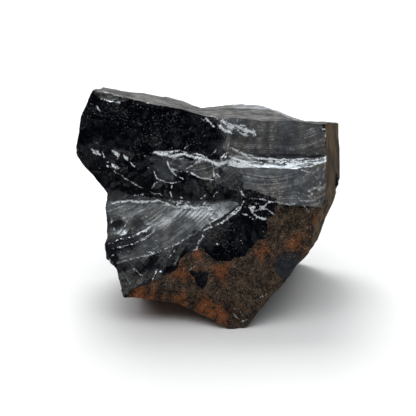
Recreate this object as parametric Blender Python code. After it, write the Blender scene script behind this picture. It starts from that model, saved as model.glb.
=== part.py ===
"""Obsidian chunk: one solid stone, made by striking flakes off a block.

Every flake is a cutter.  A flake face is a gently bent sheet fitted through a few
points; a cutter is the space beyond one sheet, or beyond two or three sheets at
once (that makes a valley).  Points are in millimetres in a frame that leans back
with the stone's face: across, up, out.  Metres in the scene, +Z up, front at -Y.
"""
import bpy
import bmesh
import numpy as np
from math import cos, radians, sin
from mathutils import Matrix, Vector

# ---- driving dimensions -------------------------------------------------------
MM = 0.001
LEAN = radians(24.0)          # how far the front face leans back from upright
FOOT = 32.9                   # height of the leaning frame's centre over the table, mm
SHIFT_X, SHIFT_Y = -0.6, -19.38   # puts the middle of the foot print at the origin, mm
BLOCK = ((-46.0, 46.0), (-42.0, 42.0), (-52.0, 10.0))   # block: across, up, out
CELL = 3.0                    # sheet cell of a bent face, mm
FINE = 1.5                    # sheet cell of the rippled fan, mm
RIPPLE = (0.30, 5.6)          # fan ripple: height and wave length, mm
RIPPLE_MIDDLE = (-36.0, 28.0)  # point the fan ripples spread from: across, up
STONE_COLOUR = (0.018, 0.018, 0.022, 1.0)

# facing: which of (across, up, out) the sheet is a height in, its two other
# directions, and on which side of the sheet the stone is struck away
FACING = {"out": (2, 0, 1, 1), "back": (2, 0, 1, -1), "up": (1, 0, 2, 1),
          "down": (1, 0, 2, -1), "right": (0, 1, 2, 1), "left": (0, 1, 2, -1)}

FLAT, BENT = 3, 6             # how many terms a sheet may use

FACES = {
    # glassy front, upper left
    "upper_scar": ("out", BENT, [
        (-32, 33, -0.1), (-15, 24, -1.8), (7, 26, 1.0), (-1, 14.2, 2.6), (-17, 17, -0.5),
        (-26, 14.5, -1.6), (-35, 15, -3.2), (-37, 22, -2.8), (0, 21, 0.2), (-15, 31, -0.4),
        (7, 16, 3.0)]),
    # glassy front, upper right: a smooth band, the roll below it, the panel under that
    "band": ("out", FLAT, [(7, 26, 1.0), (36, 25, 0.6), (8, 16, -1.2), (34, 16, -1.6),
                           (20, 20, -0.4), (20, 25.5, 1.1)]),
    "band_end": ("right", FLAT, [(7, 26, 1), (8.5, 16, -1.2), (5.5, 16, 2.6)]),
    "roll": ("out", FLAT, [(8, 16.6, -1.2), (8, 12.2, 3.2), (34, 15.9, -1.6), (34, 12, 2.7)]),
    "panel": ("out", FLAT, [(8, 11, 3.5), (34, 11, 3.0), (8, 1, 3.6), (34, 1, 3.1)]),
    "panel_corner": ("out", FLAT, [(27, 10, 3.0), (29, -0.5, 3.0), (35, 8, 1.0), (34.4, 0, 1.0)]),
    # the hollow across the middle
    "under_lip": ("out", FLAT, [(-11.4, 15.6, 0.4), (-1, 14.2, 2.4), (6.6, 13.5, 3.0),
                                (-8.4, 10.5, -0.8), (-1, 8.4, 0.4), (3.6, 8.1, 1.0)]),
    "lip_end": ("right", FLAT, [(-16.5, 17, 0), (-12, 11, 0), (-16.5, 17, 5)]),
    "recess": ("out", FLAT, [(-11.4, 12.9, -0.6), (-8.4, 10.5, -0.6), (-1, 8.4, 0.4),
                             (3, 7.8, 0.8), (-7, 2.4, -5), (2, 1.5, -3)]),
    "recess_end": ("left", BENT, [(5.1, 6, -3), (10.5, 6, 3.4), (5, 1, -3), (11, 1, 3.4),
                                  (8.5, 14, 3.2)]),
    "hollow": ("out", FLAT, [(-26, 14.5, -1.7), (-17, 17, -0.6), (-28, 4, -6.2),
                             (-13, 3.9, -5.2), (-35, 12, -4)]),
    "hollow_end": ("left", FLAT, [(-15, 17, 1), (-7.5, 8.4, 1), (-17.5, 17, -4)]),
    "fan": ("out", BENT, [
        (-28, 1.5, -6.2), (-11, 1.2, -4.8), (2, 0, -1.5), (-27.9, -16.2, 1.3),
        (-17.4, -14.1, 1.0), (-8.4, -10.5, 1.5), (-5.4, -7.2, 1.7), (5.1, -3, 1.9),
        (11.1, 1.5, 2.6)]),
    # glassy scar low on the left, and the plane that stops it under the fan
    "low_scar": ("out", BENT, [
        (-27.9, -16.2, 1.4), (-17.4, -14.1, 1.1), (-8.4, -10.5, 1.5), (-19.5, -23.7, 2.5),
        (-13, -20.7, 2.4), (-15.9, -21.6, 2.4), (-4, -12.6, 1.8), (-24.3, -26.7, 2.1),
        (-20, -18, 0.7), (-14, -16, 0.9), (-9, -16.2, 2.0)]),
    "low_scar_top": ("down", FLAT, [(-30, -8, 0), (0, -4, 0), (-30, -8, 10)]),
    # the rough crust, its undercut below the panel, its bevel, its glassy patch
    "crust": ("out", BENT, [(-2.4, -9.6, 1.9), (9.6, -36, 0.4), (34, -0.6, 0.9),
                            (-24.3, -26.7, 2.0), (12, 0, 1.6), (20, -20, 1.0)]),
    "undercut": ("down", FLAT, [(10, 1.6, 3.6), (34, 0.6, 3.1), (10, 0.9, 1.5), (34, 0, 0.8)]),
    "bevel": ("out", BENT, [
        (-24.3, -26.7, 1.9), (-19.5, -23.8, 2.2), (-10, -23.9, 2.1), (-2.4, -24.9, 1.9),
        (7, -33, 1.0), (-14, -27.6, -0.4), (-5.4, -29.7, -0.6), (1, -32.5, -0.3),
        (-20, -27.2, 0.6)]),
    "bevel_top": ("down", FLAT, [(-30, -20, 0), (20, -28, 0), (-30, -20, 10)]),
    "patch": ("out", BENT, [(-2.4, -9.5, 1.9), (17, -9, 1.3), (8, -2.1, 1.6), (7, -16.2, 1.3),
                            (7, -9, 0.9), (0, -3.5, 1.9), (14, -14, 1.4)]),
    # top
    "top_left": ("up", FLAT, [(-32.4, 35.0, 0.3), (-30.7, 37.6, -36), (-15, 35.7, -41)]),
    "top_mid": ("up", BENT, [(-32.4, 34.8, 0.6), (-15, 31.0, 0.6), (5, 26.8, 0.6),
                             (-14, 35.8, -41), (-2, 31.9, -41), (-12, 32.8, -20.2),
                             (2, 29.0, -20.2)]),
    "top_right": ("up", BENT, [(5, 26.8, 0.6), (20, 26.2, 0.6), (36, 25.5, 0.6),
                               (-1.6, 32.1, -42), (17, 32.7, -42), (0, 29.55, -20.7),
                               (20, 29.5, -20.7)]),
    "top_back": ("up", FLAT, [(17, 32.4, -43), (29, 28.1, -41), (22, 28.2, -2)]),
    "top_tail": ("up", FLAT, [(30, 27.7, -41), (39.3, 26.9, -36), (34, 25.9, -2)]),
    # right side
    "side": ("right", FLAT, [(36, 24.6, 0.3), (34.4, 0.9, 1), (40.6, 24, -38), (42.7, 5, -38)]),
    "side_foot": ("right", FLAT, [(34.2, 0.3, 0.8), (30, -13.5, 0.3), (38.2, 2.7, -12),
                                  (34.8, -6.7, -12)]),
    "side_heel": ("right", FLAT, [(38.3, 2.7, -12), (34.8, -6.7, -12), (38.6, 2, -38),
                                  (33.8, -8, -38)]),
    "under_right": ("down", FLAT, [(30.3, -13, 0.2), (18, -28.2, 0.4), (11.4, -35.1, 0.3),
                                   (23, -21.5, -33)]),
    # left side
    "left_top": ("left", FLAT, [(-33.6, 35.7, 0), (-38.1, 28.5, -1), (-34.2, 35.7, -38),
                                (-37.6, 28.5, -38)]),
    "left_high": ("left", FLAT, [(-37.9, 29, -1), (-39.9, 19.5, -3), (-37.4, 29, -38),
                                 (-39.2, 19.5, -38)]),
    "left_slope": ("left", FLAT, [(-39.7, 16.8, -3), (-34.2, 8.4, -5), (-30.8, 4.6, -6.3),
                                  (-36.8, 12, -38), (-28.8, 3, -38)]),
    "left_mid": ("left", FLAT, [(-30.6, 0, -5), (-30.8, -14.7, 0.5), (-26, 0, -38),
                                (-24, -12, -38)]),
    "left_low": ("left", FLAT, [(-30.9, -14.7, 0.5), (-27.0, -18.6, 1), (-25, -14.7, -38),
                                (-21.2, -18.6, -38)]),
    "left_foot": ("left", FLAT, [(-27.4, -17.5, 0.8), (-25.7, -26.5, 1.5), (-21.8, -17.5, -38),
                                 (-20, -24, -38)]),
    # underside
    "under_left": ("down", FLAT, [(-24.3, -26.7, -2), (-9.9, -28.4, -2), (-21.5, -22.7, -30)]),
    "under_mid": ("down", FLAT, [(-9.9, -28.4, -2), (7.2, -36, -2), (-10, -24, -30)]),
    # back
    "back_left": ("back", FLAT, [(-36, 26, -33), (-28, -4, -34), (0, 25, -44), (0, -14, -47)]),
    "back_right": ("back", FLAT, [(38, 22, -37), (33, 0, -39), (5, 25, -44), (5, -14, -47.5)]),
    "back_scar": ("back", BENT, [(4, 10, -40), (-14, 10, -45), (22, 8, -45), (4, 27, -42.5),
                                 (4, -8, -46)]),
    "back_low": ("back", FLAT, [(-20, -17, -40), (24, -17, -41), (0, -8, -46.5)]),
}

# flakes in the order they are struck: one sheet, or several that bound it together
FLAKES = [
    ("upper_scar",), ("band", "roll", "band_end"), ("panel",), ("panel_corner",),
    ("low_scar", "low_scar_top"), ("crust", "undercut"), ("bevel", "bevel_top"), ("patch",),
    ("top_left", "top_right"), ("top_mid", "top_right"), ("top_back", "top_tail"),
    ("side",), ("side_foot",), ("side_heel",), ("under_right",), ("left_top",), ("left_high",),
    ("left_slope", "left_mid"), ("left_low", "left_foot"), ("under_left", "under_mid"),
    ("back_left",), ("back_right",), ("back_scar",), ("back_low",)]

# small flakes struck by a ball: middle (across, up, out) and radius
CHIPS = [
    # crushed top corner, lip, edges of the front
    ((-29.5, 35.0, 4.5), 6.0), ((-26.0, 31.5, 5.0), 6.0), ((-12.8, 15.2, 2.6), 3.0),
    ((-5.5, 13.5, 4.0), 3.4), ((1.0, 14.0, 5.0), 3.0), ((35.5, 24.0, 2.5), 3.0),
    ((-40.2, 13.0, -3.0), 4.0), ((-32.0, 6.5, -6.5), 3.5), ((-26.5, -3.5, 3.0), 6.0),
    ((-30.5, -14.0, 3.5), 3.5), ((-24.5, -25.0, 4.0), 4.0),
    # under the panel, in the crust, at the tip
    ((13.2, -1.2, 4.8), 4.0), ((17.4, -1.4, 4.1), 3.4), ((20.6, -0.6, 4.5), 3.4),
    ((27.0, 0.5, 5.6), 3.0), ((24.0, -18.0, 14.0), 14.0), ((-2.5, -21.5, 8.3), 7.0),
    ((16.5, -27.5, 3.5), 3.2), ((9.5, -33.5, 3.5), 3.6),
    # sides, back and top
    ((43.6, 8.0, -26.5), 5.0), ((-43.7, -5.0, -1.5), 14.0), ((-53.3, 24.0, -19.0), 16.0),
    ((-24.0, 8.0, -57.5), 22.0), ((27.5, 5.0, -58.0), 19.0), ((-12.0, -16.0, -58.6), 18.0),
    ((18.0, 20.0, -56.0), 15.6), ((-24.0, 41.0, -41.0), 8.0), ((38.0, 33.0, -40.0), 8.0),
    ((38.0, -6.0, -44.0), 7.0), ((-26.0, -22.0, -42.0), 7.0)]


def to_row():
    """Matrix from the leaning frame in mm (across, up, out) to metres, front at -Y."""
    c, s = cos(LEAN), sin(LEAN)
    return Matrix(((MM, 0.0, 0.0, SHIFT_X * MM),
                   (0.0, s * MM, -c * MM, SHIFT_Y * MM),
                   (0.0, c * MM, s * MM, FOOT * MM),
                   (0.0, 0.0, 0.0, 1.0)))


def clear():
    """Start from an empty file."""
    for thing in list(bpy.data.objects):
        bpy.data.objects.remove(thing)
    for mesh in list(bpy.data.meshes):
        bpy.data.meshes.remove(mesh)


def collection(name):
    made = bpy.data.collections.new(name)
    bpy.context.scene.collection.children.link(made)
    return made


def terms(a, b):
    """The six terms a bent sheet is made of: 1, a, b, aa, ab, bb."""
    return np.stack([np.ones_like(a), a, b, a * a, a * b, b * b], axis=-1)


def sheet(face):
    """Fit the height of one face through its points; returns height(a, b).

    The square terms are made dear, so a sheet bends only as much as its points ask.
    """
    facing, count, points = FACES[face]
    along, first, second, _ = FACING[facing]
    p = np.array(points, float)
    mid = p.mean(axis=0)
    cost = np.array([1e3, 1e2, 1e2, 1.0, 1.0, 1.0])[:count]
    rows = terms(p[:, first] - mid[first], p[:, second] - mid[second])[:, :count] * cost
    fit = np.linalg.lstsq(rows, p[:, along], rcond=None)[0] * cost

    def height(a, b):
        flat = terms(a - mid[first], b - mid[second])[:, :count] @ fit
        if face == "fan":
            tall, wave = RIPPLE
            away = np.hypot(a - RIPPLE_MIDDLE[0], b - RIPPLE_MIDDLE[1])
            flat = flat + tall * np.sin(2.0 * np.pi * away / wave)
        return flat
    return height


def slab(face, home):
    """Cutter body of one face: its sheet, pushed out past the block, in metres."""
    facing, count, _ = FACES[face]
    along, first, second, sign = FACING[facing]
    (a0, a1), (b0, b1) = [(BLOCK[k][0] - 5.0, BLOCK[k][1] + 5.0) for k in (first, second)]
    low, high = BLOCK[along]
    cell = 1e3 if count == FLAT else (FINE if face == "fan" else CELL)
    na, nb = (max(1, round((e - s) / cell)) for s, e in ((a0, a1), (b0, b1)))
    bm = bmesh.new()
    bmesh.ops.create_grid(bm, x_segments=na, y_segments=nb, size=0.5)
    spots = np.array([v.co[:] for v in bm.verts])
    a = a0 + (spots[:, 0] + 0.5) * (a1 - a0)
    b = b0 + (spots[:, 1] + 0.5) * (b1 - b0)
    height = np.clip(sheet(face)(a, b), low - 4.0, high + 4.0) if count == BENT \
        else sheet(face)(a, b)
    for vert, x, y, z in zip(bm.verts, a, b, height):
        at = [0.0, 0.0, 0.0]
        at[first], at[second], at[along] = x, y, z
        vert.co = at
    bmesh.ops.triangulate(bm, faces=bm.faces[:])
    grown = bmesh.ops.extrude_face_region(bm, geom=bm.faces[:], use_keep_orig=True)
    far = (high + 300.0) if sign > 0 else (low - 300.0)
    for part in grown["geom"]:
        if isinstance(part, bmesh.types.BMVert):
            part.co[along] = far
    bmesh.ops.recalc_face_normals(bm, faces=bm.faces[:])
    bmesh.ops.transform(bm, matrix=to_row(), verts=bm.verts[:])
    mesh = bpy.data.meshes.new("cut_" + face)
    bm.to_mesh(mesh)
    bm.free()
    return cutter("cut_" + face, mesh, home)


def cutter(name, mesh, home):
    thing = bpy.data.objects.new(name, mesh)
    thing.hide_render = True
    thing.display_type = "WIRE"
    home.objects.link(thing)
    return thing


def boolean(target, other, how):
    mod = target.modifiers.new(how.lower() + "_" + other.name, "BOOLEAN")
    mod.operation = how
    mod.solver = "MANIFOLD"     # the exact solver leaves slivers of bent sheets open
    mod.object = other
    return target


def chip(number, middle, radius, home):
    """A ball that bites a small hollow out of an edge."""
    bm = bmesh.new()
    bmesh.ops.create_icosphere(bm, subdivisions=3, radius=radius)
    bmesh.ops.translate(bm, vec=Vector(middle), verts=bm.verts[:])
    bmesh.ops.transform(bm, matrix=to_row(), verts=bm.verts[:])
    mesh = bpy.data.meshes.new("chip")
    bm.to_mesh(mesh)
    bm.free()
    return cutter("cut_chip_%02d" % number, mesh, home)


def block(home):
    bm = bmesh.new()
    bmesh.ops.create_cube(bm, size=1.0)
    lo = Vector([side[0] for side in BLOCK])
    hi = Vector([side[1] for side in BLOCK])
    for vert in bm.verts:
        vert.co = [lo[k] + (vert.co[k] + 0.5) * (hi[k] - lo[k]) for k in range(3)]
    bmesh.ops.transform(bm, matrix=to_row(), verts=bm.verts[:])
    # level foot: everything under the table goes
    cut = bmesh.ops.bisect_plane(bm, geom=bm.verts[:] + bm.edges[:] + bm.faces[:],
                                 plane_co=(0, 0, 0), plane_no=(0, 0, -1), clear_outer=True)
    rim = [e for e in cut["geom_cut"] if isinstance(e, bmesh.types.BMEdge)]
    bmesh.ops.contextual_create(bm, geom=rim)
    bmesh.ops.recalc_face_normals(bm, faces=bm.faces[:])
    mesh = bpy.data.meshes.new("obsidian_chunk")
    bm.to_mesh(mesh)
    bm.free()
    thing = bpy.data.objects.new("obsidian_chunk", mesh)
    home.objects.link(thing)
    return thing


def stone_material():
    mat = bpy.data.materials.new("obsidian")
    mat.use_nodes = True
    shader = mat.node_tree.nodes["Principled BSDF"]
    shader.inputs["Base Color"].default_value = STONE_COLOUR
    shader.inputs["Roughness"].default_value = 0.25
    mat.diffuse_color = STONE_COLOUR
    return mat


def build():
    clear()
    parts, cutters = collection("obsidian_chunk"), collection("cutters")
    stone = block(parts)
    for flake in FLAKES:
        tool = slab(flake[0], cutters)
        for other in flake[1:]:
            boolean(tool, slab(other, cutters), "INTERSECT")
        boolean(stone, tool, "DIFFERENCE")
    # the hollow across the middle: three faces side by side, all stopped by the fan
    right = slab("under_lip", cutters)
    boolean(right, slab("lip_end", cutters), "INTERSECT")
    boolean(right, slab("recess", cutters), "UNION")
    boolean(right, slab("recess_end", cutters), "INTERSECT")
    left = slab("hollow", cutters)
    boolean(left, slab("hollow_end", cutters), "INTERSECT")
    boolean(left, right, "UNION")
    boolean(left, slab("fan", cutters), "INTERSECT")
    boolean(stone, left, "DIFFERENCE")
    for number, (middle, radius) in enumerate(CHIPS):
        boolean(stone, chip(number, middle, radius, cutters), "DIFFERENCE")
    stone.data.materials.append(stone_material())


build()
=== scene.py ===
"""Obsidian chunk: the finished look of one struck stone, its floor, lights and camera.

The stone is a closed surface worked out on a grid of directions from its heart.
Along each direction it is where the level of the stone, which its flakes set, is nought,
or nearer where a small ball chips it.  Ripples, hackles, steps and crust then move it
along its own normal.
Lengths in the tables are millimetres in a frame that leans back with the front face:
across, up, out.  The mesh is in metres, +Z up, front at -Y.
"""
from math import cos, radians, sin
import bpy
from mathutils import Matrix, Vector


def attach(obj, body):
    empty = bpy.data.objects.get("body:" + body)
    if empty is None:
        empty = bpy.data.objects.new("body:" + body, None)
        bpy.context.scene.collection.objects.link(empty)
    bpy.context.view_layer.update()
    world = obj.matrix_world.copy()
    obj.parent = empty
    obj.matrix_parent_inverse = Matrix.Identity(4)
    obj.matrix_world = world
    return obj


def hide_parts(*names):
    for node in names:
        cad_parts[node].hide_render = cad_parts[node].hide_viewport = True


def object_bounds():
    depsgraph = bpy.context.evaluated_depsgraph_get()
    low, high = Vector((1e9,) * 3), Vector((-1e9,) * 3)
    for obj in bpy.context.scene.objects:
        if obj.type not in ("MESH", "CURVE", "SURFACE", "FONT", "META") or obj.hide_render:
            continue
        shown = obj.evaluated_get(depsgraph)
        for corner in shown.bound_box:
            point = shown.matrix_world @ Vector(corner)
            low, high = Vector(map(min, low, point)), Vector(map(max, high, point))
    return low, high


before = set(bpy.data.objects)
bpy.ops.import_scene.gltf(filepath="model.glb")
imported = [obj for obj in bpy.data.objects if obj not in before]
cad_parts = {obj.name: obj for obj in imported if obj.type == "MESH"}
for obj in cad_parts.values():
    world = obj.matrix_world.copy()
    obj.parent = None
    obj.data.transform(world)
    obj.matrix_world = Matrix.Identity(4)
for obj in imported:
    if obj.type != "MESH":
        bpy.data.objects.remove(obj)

from types import SimpleNamespace

import bpy
import numpy as np
from mathutils import Vector

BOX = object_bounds()             # the solids' box, before anything is dressed

bl_info = {
    "name": "Obsidian Chunk",
    "version": (1, 0, 0),
    "blender": (4, 5, 0),
    "location": "3D View > Sidebar > Obsidian",
    "description": "Builds a struck obsidian stone with its crust, floor, lights and camera",
    "category": "Add Mesh",
}

# ---- the leaning frame ---------------------------------------------------------
MM = 0.001
LEAN = radians(24.0)          # how far the front face leans back from upright
FOOT = 32.9                   # height of the leaning frame's centre over the floor, mm
SHIFT_X, SHIFT_Y = -0.6, -19.38
RIPPLE = (0.04, 5.6)          # the fan's broad ripples: height and wave length, mm
RIPPLE_MIDDLE = (-36.0, 28.0)
HEART = np.array([0.0, -1.0, -24.0])   # every direction of the grid starts here
NEAREST, FARTHEST = 4.0, 75.0          # how far from it the surface is looked for, mm

# how the surface is found: halvings of the search along each direction, and how often
# the directions are evened out and over how many rounds
FIRST_HALVINGS, EVENING_HALVINGS, LAST_HALVINGS = 8, 7, 17
EVENINGS, EVENING_ROUNDS = 2, 3
RIDGE_REACH = 0.62            # share of an edge that a point may move to reach a ridge
RIDGE_STEP = 0.15             # most that one step moves it, mm

# fine forms, mm
CRUST_DEPTH, STEP_DEPTH = -6.0, -9.0   # crust and steps are on the front alone
NICK_EDGE = 0.35              # nicks sit where two flakes tie as nearly as this
NICK_FLOOR = -40.0            # and above this height
NICK_RADIUS, NICK_BITE = (0.7, 2.4), (0.10, 0.28)   # least, and how much more at most
FULL_RIPPLE = 0.03            # ripples this high show as full rings
WORN_WIDTH = 0.25             # how far the powder of a worn edge reaches
SINK = 0.08                   # the whole skin is sunk by this, to make room for the forms
WINDOW_SATIN, OVAL_SATIN = 0.03, 0.24   # how streaked the glass is there
BAND_SATIN = 0.85             # and at the right end of the upper front

# where the lights hang and what they face, and the way to the bright parts of the room
MIRROR_PLACE, SOFT_PLACE = (-0.14, 0.33, 0.80), (-0.13, 0.64, 0.80)
BROAD_PLACE, BROAD_AIM = (-0.35, 0.40, 1.20), (-0.35, 0.40, 0.0)
STONE_MIDDLE = (0.0, 0.0, 0.03)
OVERHEAD, BEHIND = (-0.10, -0.12, 0.988), (0.10, 0.99, 0.10)
SENSOR = 36.0                 # width of the camera's sensor, mm

# facing: which of (across, up, out) a sheet is a height in, its two other
# directions, and on which side of the sheet the stone is struck away
FACING = {"out": (2, 0, 1, 1), "back": (2, 0, 1, -1), "up": (1, 0, 2, 1),
          "down": (1, 0, 2, -1), "right": (0, 1, 2, 1), "left": (0, 1, 2, -1)}
FLAT, BENT = 3, 6             # how many terms a sheet may use

FACES = {
    # glassy front, upper left
    "upper_scar": ("out", BENT, [
        (-32, 33, -0.1), (-15, 24, -1.8), (7, 26, 1.0), (-1, 14.2, 2.6), (-17, 17, -0.5),
        (-26, 14.5, -1.6), (-35, 15, -3.2), (-37, 22, -2.8), (0, 21, 0.2), (-15, 31, -0.4),
        (7, 16, 3.0)]),
    # glassy front, upper right: a smooth band, the roll below it, the panel under that
    "band": ("out", FLAT, [(7, 26, 1.0), (36, 25, 0.6), (8, 16, -1.2), (34, 16, -1.6),
                           (20, 20, -0.4), (20, 25.5, 1.1)]),
    "band_end": ("right", FLAT, [(7, 26, 1), (8.5, 16, -1.2), (5.5, 16, 2.6)]),
    "roll": ("out", FLAT, [(8, 16.6, -1.2), (8, 12.2, 3.2), (34, 15.9, -1.6), (34, 12, 2.7)]),
    "panel": ("out", FLAT, [(8, 11, 3.5), (34, 11, 3.0), (8, 1, 3.6), (34, 1, 3.1)]),
    "panel_corner": ("out", FLAT, [(27, 10, 3.0), (29, -0.5, 3.0), (35, 8, 1.0), (34.4, 0, 1.0)]),
    # the hollow across the middle
    "under_lip": ("out", FLAT, [(-11.4, 15.6, 0.4), (-1, 14.2, 2.4), (6.6, 13.5, 3.0),
                                (-8.4, 10.5, -0.8), (-1, 8.4, 0.4), (3.6, 8.1, 1.0)]),
    "lip_end": ("right", FLAT, [(-16.5, 17, 0), (-12, 11, 0), (-16.5, 17, 5)]),
    "recess": ("out", FLAT, [(-11.4, 12.9, -0.6), (-8.4, 10.5, -0.6), (-1, 8.4, 0.4),
                             (3, 7.8, 0.8), (-7, 2.4, -5), (2, 1.5, -3)]),
    "recess_end": ("left", BENT, [(5.1, 6, -3), (10.5, 6, 3.4), (5, 1, -3), (11, 1, 3.4),
                                  (8.5, 14, 3.2)]),
    "hollow": ("out", FLAT, [(-26, 14.5, -1.7), (-17, 17, -0.6), (-28, 4, -6.2),
                             (-13, 3.9, -5.2), (-35, 12, -4)]),
    "hollow_end": ("left", FLAT, [(-15, 17, 1), (-7.5, 8.4, 1), (-17.5, 17, -4)]),
    "fan": ("out", BENT, [
        (-28, 1.5, -6.2), (-11, 1.2, -4.8), (2, 0, -1.5), (-27.9, -16.2, 1.3),
        (-17.4, -14.1, 1.0), (-8.4, -10.5, 1.5), (-5.4, -7.2, 1.7), (5.1, -3, 1.9),
        (11.1, 1.5, 2.6)]),
    # glassy scar low on the left, and the plane that stops it under the fan
    "low_scar": ("out", BENT, [
        (-27.9, -16.2, 1.4), (-17.4, -14.1, 1.1), (-8.4, -10.5, 1.5), (-19.5, -23.7, 2.5),
        (-13, -20.7, 2.4), (-15.9, -21.6, 2.4), (-4, -12.6, 1.8), (-24.3, -26.7, 2.1),
        (-20, -18, 0.7), (-14, -16, 0.9), (-9, -16.2, 2.0)]),
    "low_scar_top": ("down", FLAT, [(-30, -8, 0), (0, -4, 0), (-30, -8, 10)]),
    # the rough crust, its undercut below the panel, its bevel, its glassy patch
    "crust": ("out", BENT, [(-2.4, -9.6, 1.9), (9.6, -36, 0.4), (34, -0.6, 0.9),
                            (-24.3, -26.7, 2.0), (12, 0, 1.6), (20, -20, 1.0)]),
    "undercut": ("down", FLAT, [(10, 1.6, 3.6), (34, 0.6, 3.1), (10, 0.9, 1.5), (34, 0, 0.8)]),
    "bevel": ("out", BENT, [
        (-24.3, -26.7, 1.9), (-19.5, -23.8, 2.2), (-10, -23.9, 2.1), (-2.4, -24.9, 1.9),
        (7, -33, 1.0), (-14, -27.6, -0.4), (-5.4, -29.7, -0.6), (1, -32.5, -0.3),
        (-20, -27.2, 0.6)]),
    "bevel_top": ("down", FLAT, [(-30, -20, 0), (20, -28, 0), (-30, -20, 10)]),
    "patch": ("out", BENT, [(-2.4, -9.5, 1.9), (17, -9, 1.3), (8, -2.1, 1.6), (7, -16.2, 1.3),
                            (7, -9, 0.9), (0, -3.5, 1.9), (14, -14, 1.4)]),
    # top
    "top_left": ("up", FLAT, [(-32.4, 35.0, 0.3), (-30.7, 37.6, -36), (-15, 35.7, -41)]),
    "top_mid": ("up", BENT, [(-32.4, 34.8, 0.6), (-15, 31.0, 0.6), (5, 26.8, 0.6),
                             (-14, 35.8, -41), (-2, 31.9, -41), (-12, 32.8, -20.2),
                             (2, 29.0, -20.2)]),
    "top_right": ("up", BENT, [(5, 26.8, 0.6), (20, 26.2, 0.6), (36, 25.5, 0.6),
                               (-1.6, 32.1, -42), (17, 32.7, -42), (0, 29.55, -20.7),
                               (20, 29.5, -20.7)]),
    "top_back": ("up", FLAT, [(17, 32.4, -43), (29, 28.1, -41), (22, 28.2, -2)]),
    "top_tail": ("up", FLAT, [(30, 27.7, -41), (39.3, 26.9, -36), (34, 25.9, -2)]),
    # right side
    "side": ("right", FLAT, [(36, 24.6, 0.3), (34.4, 0.9, 1), (40.6, 24, -38), (42.7, 5, -38)]),
    "side_foot": ("right", FLAT, [(34.2, 0.3, 0.8), (30, -13.5, 0.3), (38.2, 2.7, -12),
                                  (34.8, -6.7, -12)]),
    "side_heel": ("right", FLAT, [(38.3, 2.7, -12), (34.8, -6.7, -12), (38.6, 2, -38),
                                  (33.8, -8, -38)]),
    "under_right": ("down", FLAT, [(30.3, -13, 0.2), (18, -28.2, 0.4), (11.4, -35.1, 0.3),
                                   (23, -21.5, -33)]),
    # left side
    "left_top": ("left", FLAT, [(-33.6, 35.7, 0), (-38.1, 28.5, -1), (-34.2, 35.7, -38),
                                (-37.6, 28.5, -38)]),
    "left_high": ("left", FLAT, [(-37.9, 29, -1), (-39.9, 19.5, -3), (-37.4, 29, -38),
                                 (-39.2, 19.5, -38)]),
    "left_slope": ("left", FLAT, [(-39.7, 16.8, -3), (-34.2, 8.4, -5), (-30.8, 4.6, -6.3),
                                  (-36.8, 12, -38), (-28.8, 3, -38)]),
    "left_mid": ("left", FLAT, [(-30.6, 0, -5), (-30.8, -14.7, 0.5), (-26, 0, -38),
                                (-24, -12, -38)]),
    "left_low": ("left", FLAT, [(-30.9, -14.7, 0.5), (-27.0, -18.6, 1), (-25, -14.7, -38),
                                (-21.2, -18.6, -38)]),
    "left_foot": ("left", FLAT, [(-27.4, -17.5, 0.8), (-25.7, -26.5, 1.5), (-21.8, -17.5, -38),
                                 (-20, -24, -38)]),
    # underside
    "under_left": ("down", FLAT, [(-24.3, -26.7, -2), (-9.9, -28.4, -2), (-21.5, -22.7, -30)]),
    "under_mid": ("down", FLAT, [(-9.9, -28.4, -2), (7.2, -36, -2), (-10, -24, -30)]),
    # back
    "back_left": ("back", FLAT, [(-36, 26, -33), (-28, -4, -34), (0, 25, -44), (0, -14, -47)]),
    "back_right": ("back", FLAT, [(38, 22, -37), (33, 0, -39), (5, 25, -44), (5, -14, -47.5)]),
    "back_scar": ("back", BENT, [(4, 10, -40), (-14, 10, -45), (22, 8, -45), (4, 27, -42.5),
                                 (4, -8, -46)]),
    "back_low": ("back", FLAT, [(-20, -17, -40), (24, -17, -41), (0, -8, -46.5)]),
}

# flakes in the order they are struck: one sheet, or several that bound it together
FLAKES = [
    ("upper_scar",), ("band", "roll", "band_end"), ("panel",), ("panel_corner",),
    ("low_scar", "low_scar_top"), ("crust", "undercut"), ("bevel", "bevel_top"), ("patch",),
    ("top_left", "top_right"), ("top_mid", "top_right"), ("top_back", "top_tail"),
    ("side",), ("side_foot",), ("side_heel",), ("under_right",), ("left_top",), ("left_high",),
    ("left_slope", "left_mid"), ("left_low", "left_foot"), ("under_left", "under_mid"),
    ("back_left",), ("back_right",), ("back_scar",), ("back_low",)]

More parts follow.
